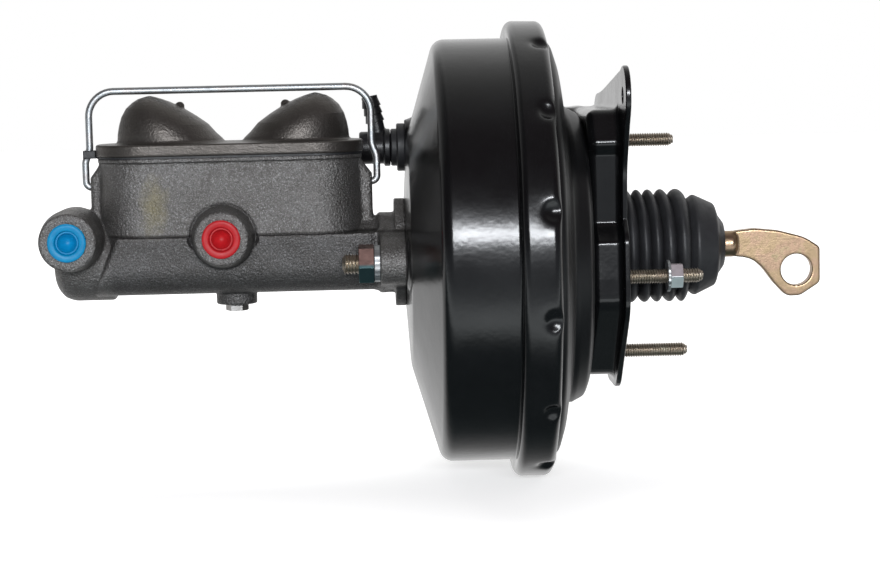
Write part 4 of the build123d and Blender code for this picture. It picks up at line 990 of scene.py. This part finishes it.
EYE_LINE = [(63.0, -7.2, 4.5), (63.0, 7.2, 4.5), (68.0, 7.6, 9), (76.5, 8.45, 20), (90.0, 7.0, 30), (105.0, 2.9, 20),
            (113.3, -2.6, 3.5), (113.3, -22.6, 4), (102.0, -29.8, 7), (94.3, -30.0, 6), (87.0, -22.2, 30),
            (79.4, -11.6, 24), (72.0, -7.2, 20)]
EYE = outline_field(closed_line(EYE_LINE), -40.0, 130.0, 0.4)


def eye_rod(x, y, z):
    """Ball, neck, collar, round rod and the forged drop eye."""
    ball = np.sqrt((x + 4.0) ** 2 + y ** 2 + z ** 2) - 5.0
    neck = rod(x, y, z, 4.4, -4.0, 26.0)
    flange = rod(x, y, z, 11.6, 24.0, 27.0, 0.5)
    shaft = rod(x, y, z, ROD_R, 24.5, 66.5, 3.0)
    body = np.minimum(np.minimum(smin(ball, neck, 1.0), flange), shaft)
    body = smin(body, corner(EYE(x, z), np.abs(y) - EYE_HALF, 1.0), 1.6)
    return smax(body, -(np.hypot(x - EYE_X, z + EYE_DROP) - EYE_BORE_R), 0.8)


solid("pedal_rod", eye_rod, (-9.5, -12, -30), (114, 12, 12), 0.5, "pushrod", "pedal_rod")


# ------------------------ springs
COIL_ROWS, COIL_AROUND = 30, 12


def coil(name, mean, wire, start, end, turns, node, body):
    """A compression spring with closed ends."""
    t = np.linspace(0, 1, int(turns * COIL_ROWS))
    rise = t - 0.035 * np.sin(2 * math.pi * t)
    x = start + wire + (end - start - 2 * wire) * rise
    a = 2 * math.pi * turns * t
    path = np.stack([x, mean * np.cos(a), mean * np.sin(a)], axis=1)
    radial = np.stack([np.zeros(len(a)), np.cos(a), np.sin(a)], axis=1)
    grid = tube_grid(path, wire, radial, np.cross(headings(path), radial), COIL_AROUND)
    ends = [np.broadcast_to(path[n], grid[:1].shape) for n in (0, -1)]
    full = np.concatenate([ends[0], grid, ends[1]])
    return finish_mesh(name, full.reshape(-1, 3), ring_faces(len(full), COIL_AROUND, False), node, body, 60)


SPRINGS = [  # each rides its body, which holds its start; the joint and the last number are not used
    ("coil_return", 27.5, 1.9, -114.7, -56.0, 5, "return_spring", "housing", "pedal_stroke", 0.48),
    ("coil_primary", 9.3, 1.1, -216.8, -163.8, 7, "primary_spring", "secondary", "pedal_stroke", 0.7),
    ("coil_secondary", 9.3, 1.1, -303.0, -268.1, 4, "secondary_spring", "housing", "pedal_stroke", 0.56),
    ("coil_rod", 10.1, 0.8, 8.5, 24.0, 4, "rod_return_spring", "power_piston", "valve_travel", 0.9),
]
for name, mean, wire, start, end, turns, node, body, joint, keep in SPRINGS:
    spring = coil(name, mean, wire, start, end, turns, node, body)
    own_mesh(spring)

# ------------------------ materials of the CAD nodes that stay
for name, node in frame["nodes"].items():
    node.data.materials.clear()
    node.data.materials.append(MATERIALS[SLOT_OF[name]])


# ------------------------ floor, light and camera
WHITE, BLACK = (1.0, 1.0, 1.0), (0.0, 0.0, 0.0)


def stage_floor():
    """Pale floor: white to the camera, unseen in reflections, and keeping the object's soft shadow."""
    mesh = bpy.data.meshes.new("floor")
    corners = [(x * FLOOR_HALF, y * FLOOR_HALF, FLOOR_LEVEL) for x, y in ((-1, -1), (1, -1), (1, 1), (-1, 1))]
    mesh.from_pydata(corners, [], [(0, 1, 2, 3)])
    floor = add_object("floor", mesh)
    s = Shader("pale_floor")
    far = s.vector("LENGTH", s.coord)["Value"]
    white = s.mix(s.new("ShaderNodeLightPath").outputs["Is Camera Ray"], BLACK, WHITE)
    s.put(Base_Color=s.mix(s.spread(s.noise(3, 4)), (0.84, 0.84, 0.84), (0.87, 0.87, 0.87)), Roughness=0.9,
          Emission_Color=s.mix(s.fade(far, 0.35, 1.2, 0.62, 1.0), BLACK, white), Emission_Strength=1.0)
    floor.visible_glossy = False
    mesh.materials.append(s.mat)


ROOM_STRENGTH = 2.0
ROOM = [  # degrees up from the front, and the light from there
    (-180, (1.0, 1.0, 1.0)), (-143, (1.0, 1.0, 1.0)), (-130, (0.5, 0.5, 0.5)), (-112, (0.14, 0.165, 0.17)),
    (-98, (0.075, 0.1, 0.105)), (-52, (0.09, 0.12, 0.13)), (-44, (0.3, 0.33, 0.34)), (-38, (1.3, 1.4, 1.42)),
    (-33, (1.75, 1.86, 1.9)), (-26, (1.0, 1.06, 1.1)), (-19, (0.5, 0.54, 0.57)), (-9, (0.3, 0.32, 0.35)),
    (2, (0.26, 0.27, 0.3)), (25, (0.13, 0.112, 0.12)), (45, (0.098, 0.074, 0.08)), (70, (0.135, 0.11, 0.115)),
    (86, (0.28, 0.27, 0.27)), (105, (0.46, 0.46, 0.45)), (130, (0.85, 0.85, 0.84)), (155, (1.0, 1.0, 1.0)),
    (180, (1.0, 1.0, 1.0)),
]


def world():
    """White to the camera; as light, a white backdrop behind and a darker room in front and above."""
    studio = bpy.data.worlds.new("studio")
    bpy.context.scene.world = studio
    studio.use_nodes = True
    nodes = Nodes(studio.node_tree)
    back = nodes.tree.nodes["Background"]
    ray = nodes.new("ShaderNodeTexCoord").outputs["Generated"]
    axes = nodes.new("ShaderNodeSeparateXYZ", {0: ray}).outputs
    angle = nodes.calc("ARCTAN2", axes["Z"], nodes.calc("MULTIPLY", axes["Y"], -1.0))
    stops = [((degrees + 180) / 360, tuple(v / ROOM_STRENGTH for v in color)) for degrees, color in ROOM]
    room = nodes.ramp(nodes.fade(angle, -math.pi, math.pi), *stops)
    left, high = nodes.fade(axes["X"], -0.2, -0.42), nodes.fade(axes["Z"], -0.02, 0.04)
    shade = nodes.calc("MULTIPLY", nodes.calc("MULTIPLY", left, high), 0.55)
    seen = nodes.new("ShaderNodeLightPath").outputs["Is Camera Ray"]
    nodes.fill(back.inputs["Color"], nodes.mix(seen, nodes.mix(shade, room, BLACK), (0.5, 0.5, 0.5)))
    back.inputs["Strength"].default_value = ROOM_STRENGTH


def lamp(name, place, aim, width, height, power, color):
    """A rectangular lamp, sized in metres and watts."""
    data = bpy.data.lights.new(name, "AREA")
    data.color = color
    data.shape = "RECTANGLE"
    data.size, data.size_y, data.energy = width, height, power
    light = add_object(name, data)
    light.location = place
    light.rotation_euler = (Vector(aim) - Vector(place)).to_track_quat("-Z", "Y").to_euler()
    return light


FOCAL_PX, PHOTO_WIDTH, SENSOR, CLIP_END = 2321.4, 880, 36.0, 50      # focal length in pixels of the photo
CAMERA_PLACE = (-0.1434, -1.2948, 0.1007)
CAMERA_TURN = (1.9, 5.5, 1.26)          # degrees to the right, down, and rolled


def camera():
    """The photo's camera."""
    yaw, down, roll = (math.radians(v) for v in CAMERA_TURN)
    ahead = Vector((math.sin(yaw) * math.cos(down), math.cos(yaw) * math.cos(down), -math.sin(down)))
    right = Vector((math.cos(yaw), -math.sin(yaw), 0))
    up = right.cross(ahead)
    rolled_right = right * math.cos(roll) - up * math.sin(roll)
    rolled_up = right * math.sin(roll) + up * math.cos(roll)
    data = bpy.data.cameras.new("camera")
    data.sensor_width = SENSOR
    data.lens = FOCAL_PX / PHOTO_WIDTH * SENSOR
    data.clip_end = CLIP_END
    turn = Matrix((rolled_right, rolled_up, -ahead)).transposed().to_4x4()
    eye = add_object("camera", data)
    eye.matrix_world = Matrix.Translation(Vector(CAMERA_PLACE)) @ turn
    bpy.context.scene.camera = eye


stage_floor()
world()
lamp("strip", (-0.1, -3.5, 0.77), (-0.1, 0, 0), 2.0, 0.3, 100, (0.93, 0.96, 1.0))
lamp("overhead", (-0.1, 0.35, 1.3), (-0.1, 0, 0), 1.2, 0.7, 6, (1.0, 0.99, 0.97)).visible_glossy = False
camera()

bpy.context.scene.view_settings.view_transform = "Standard"
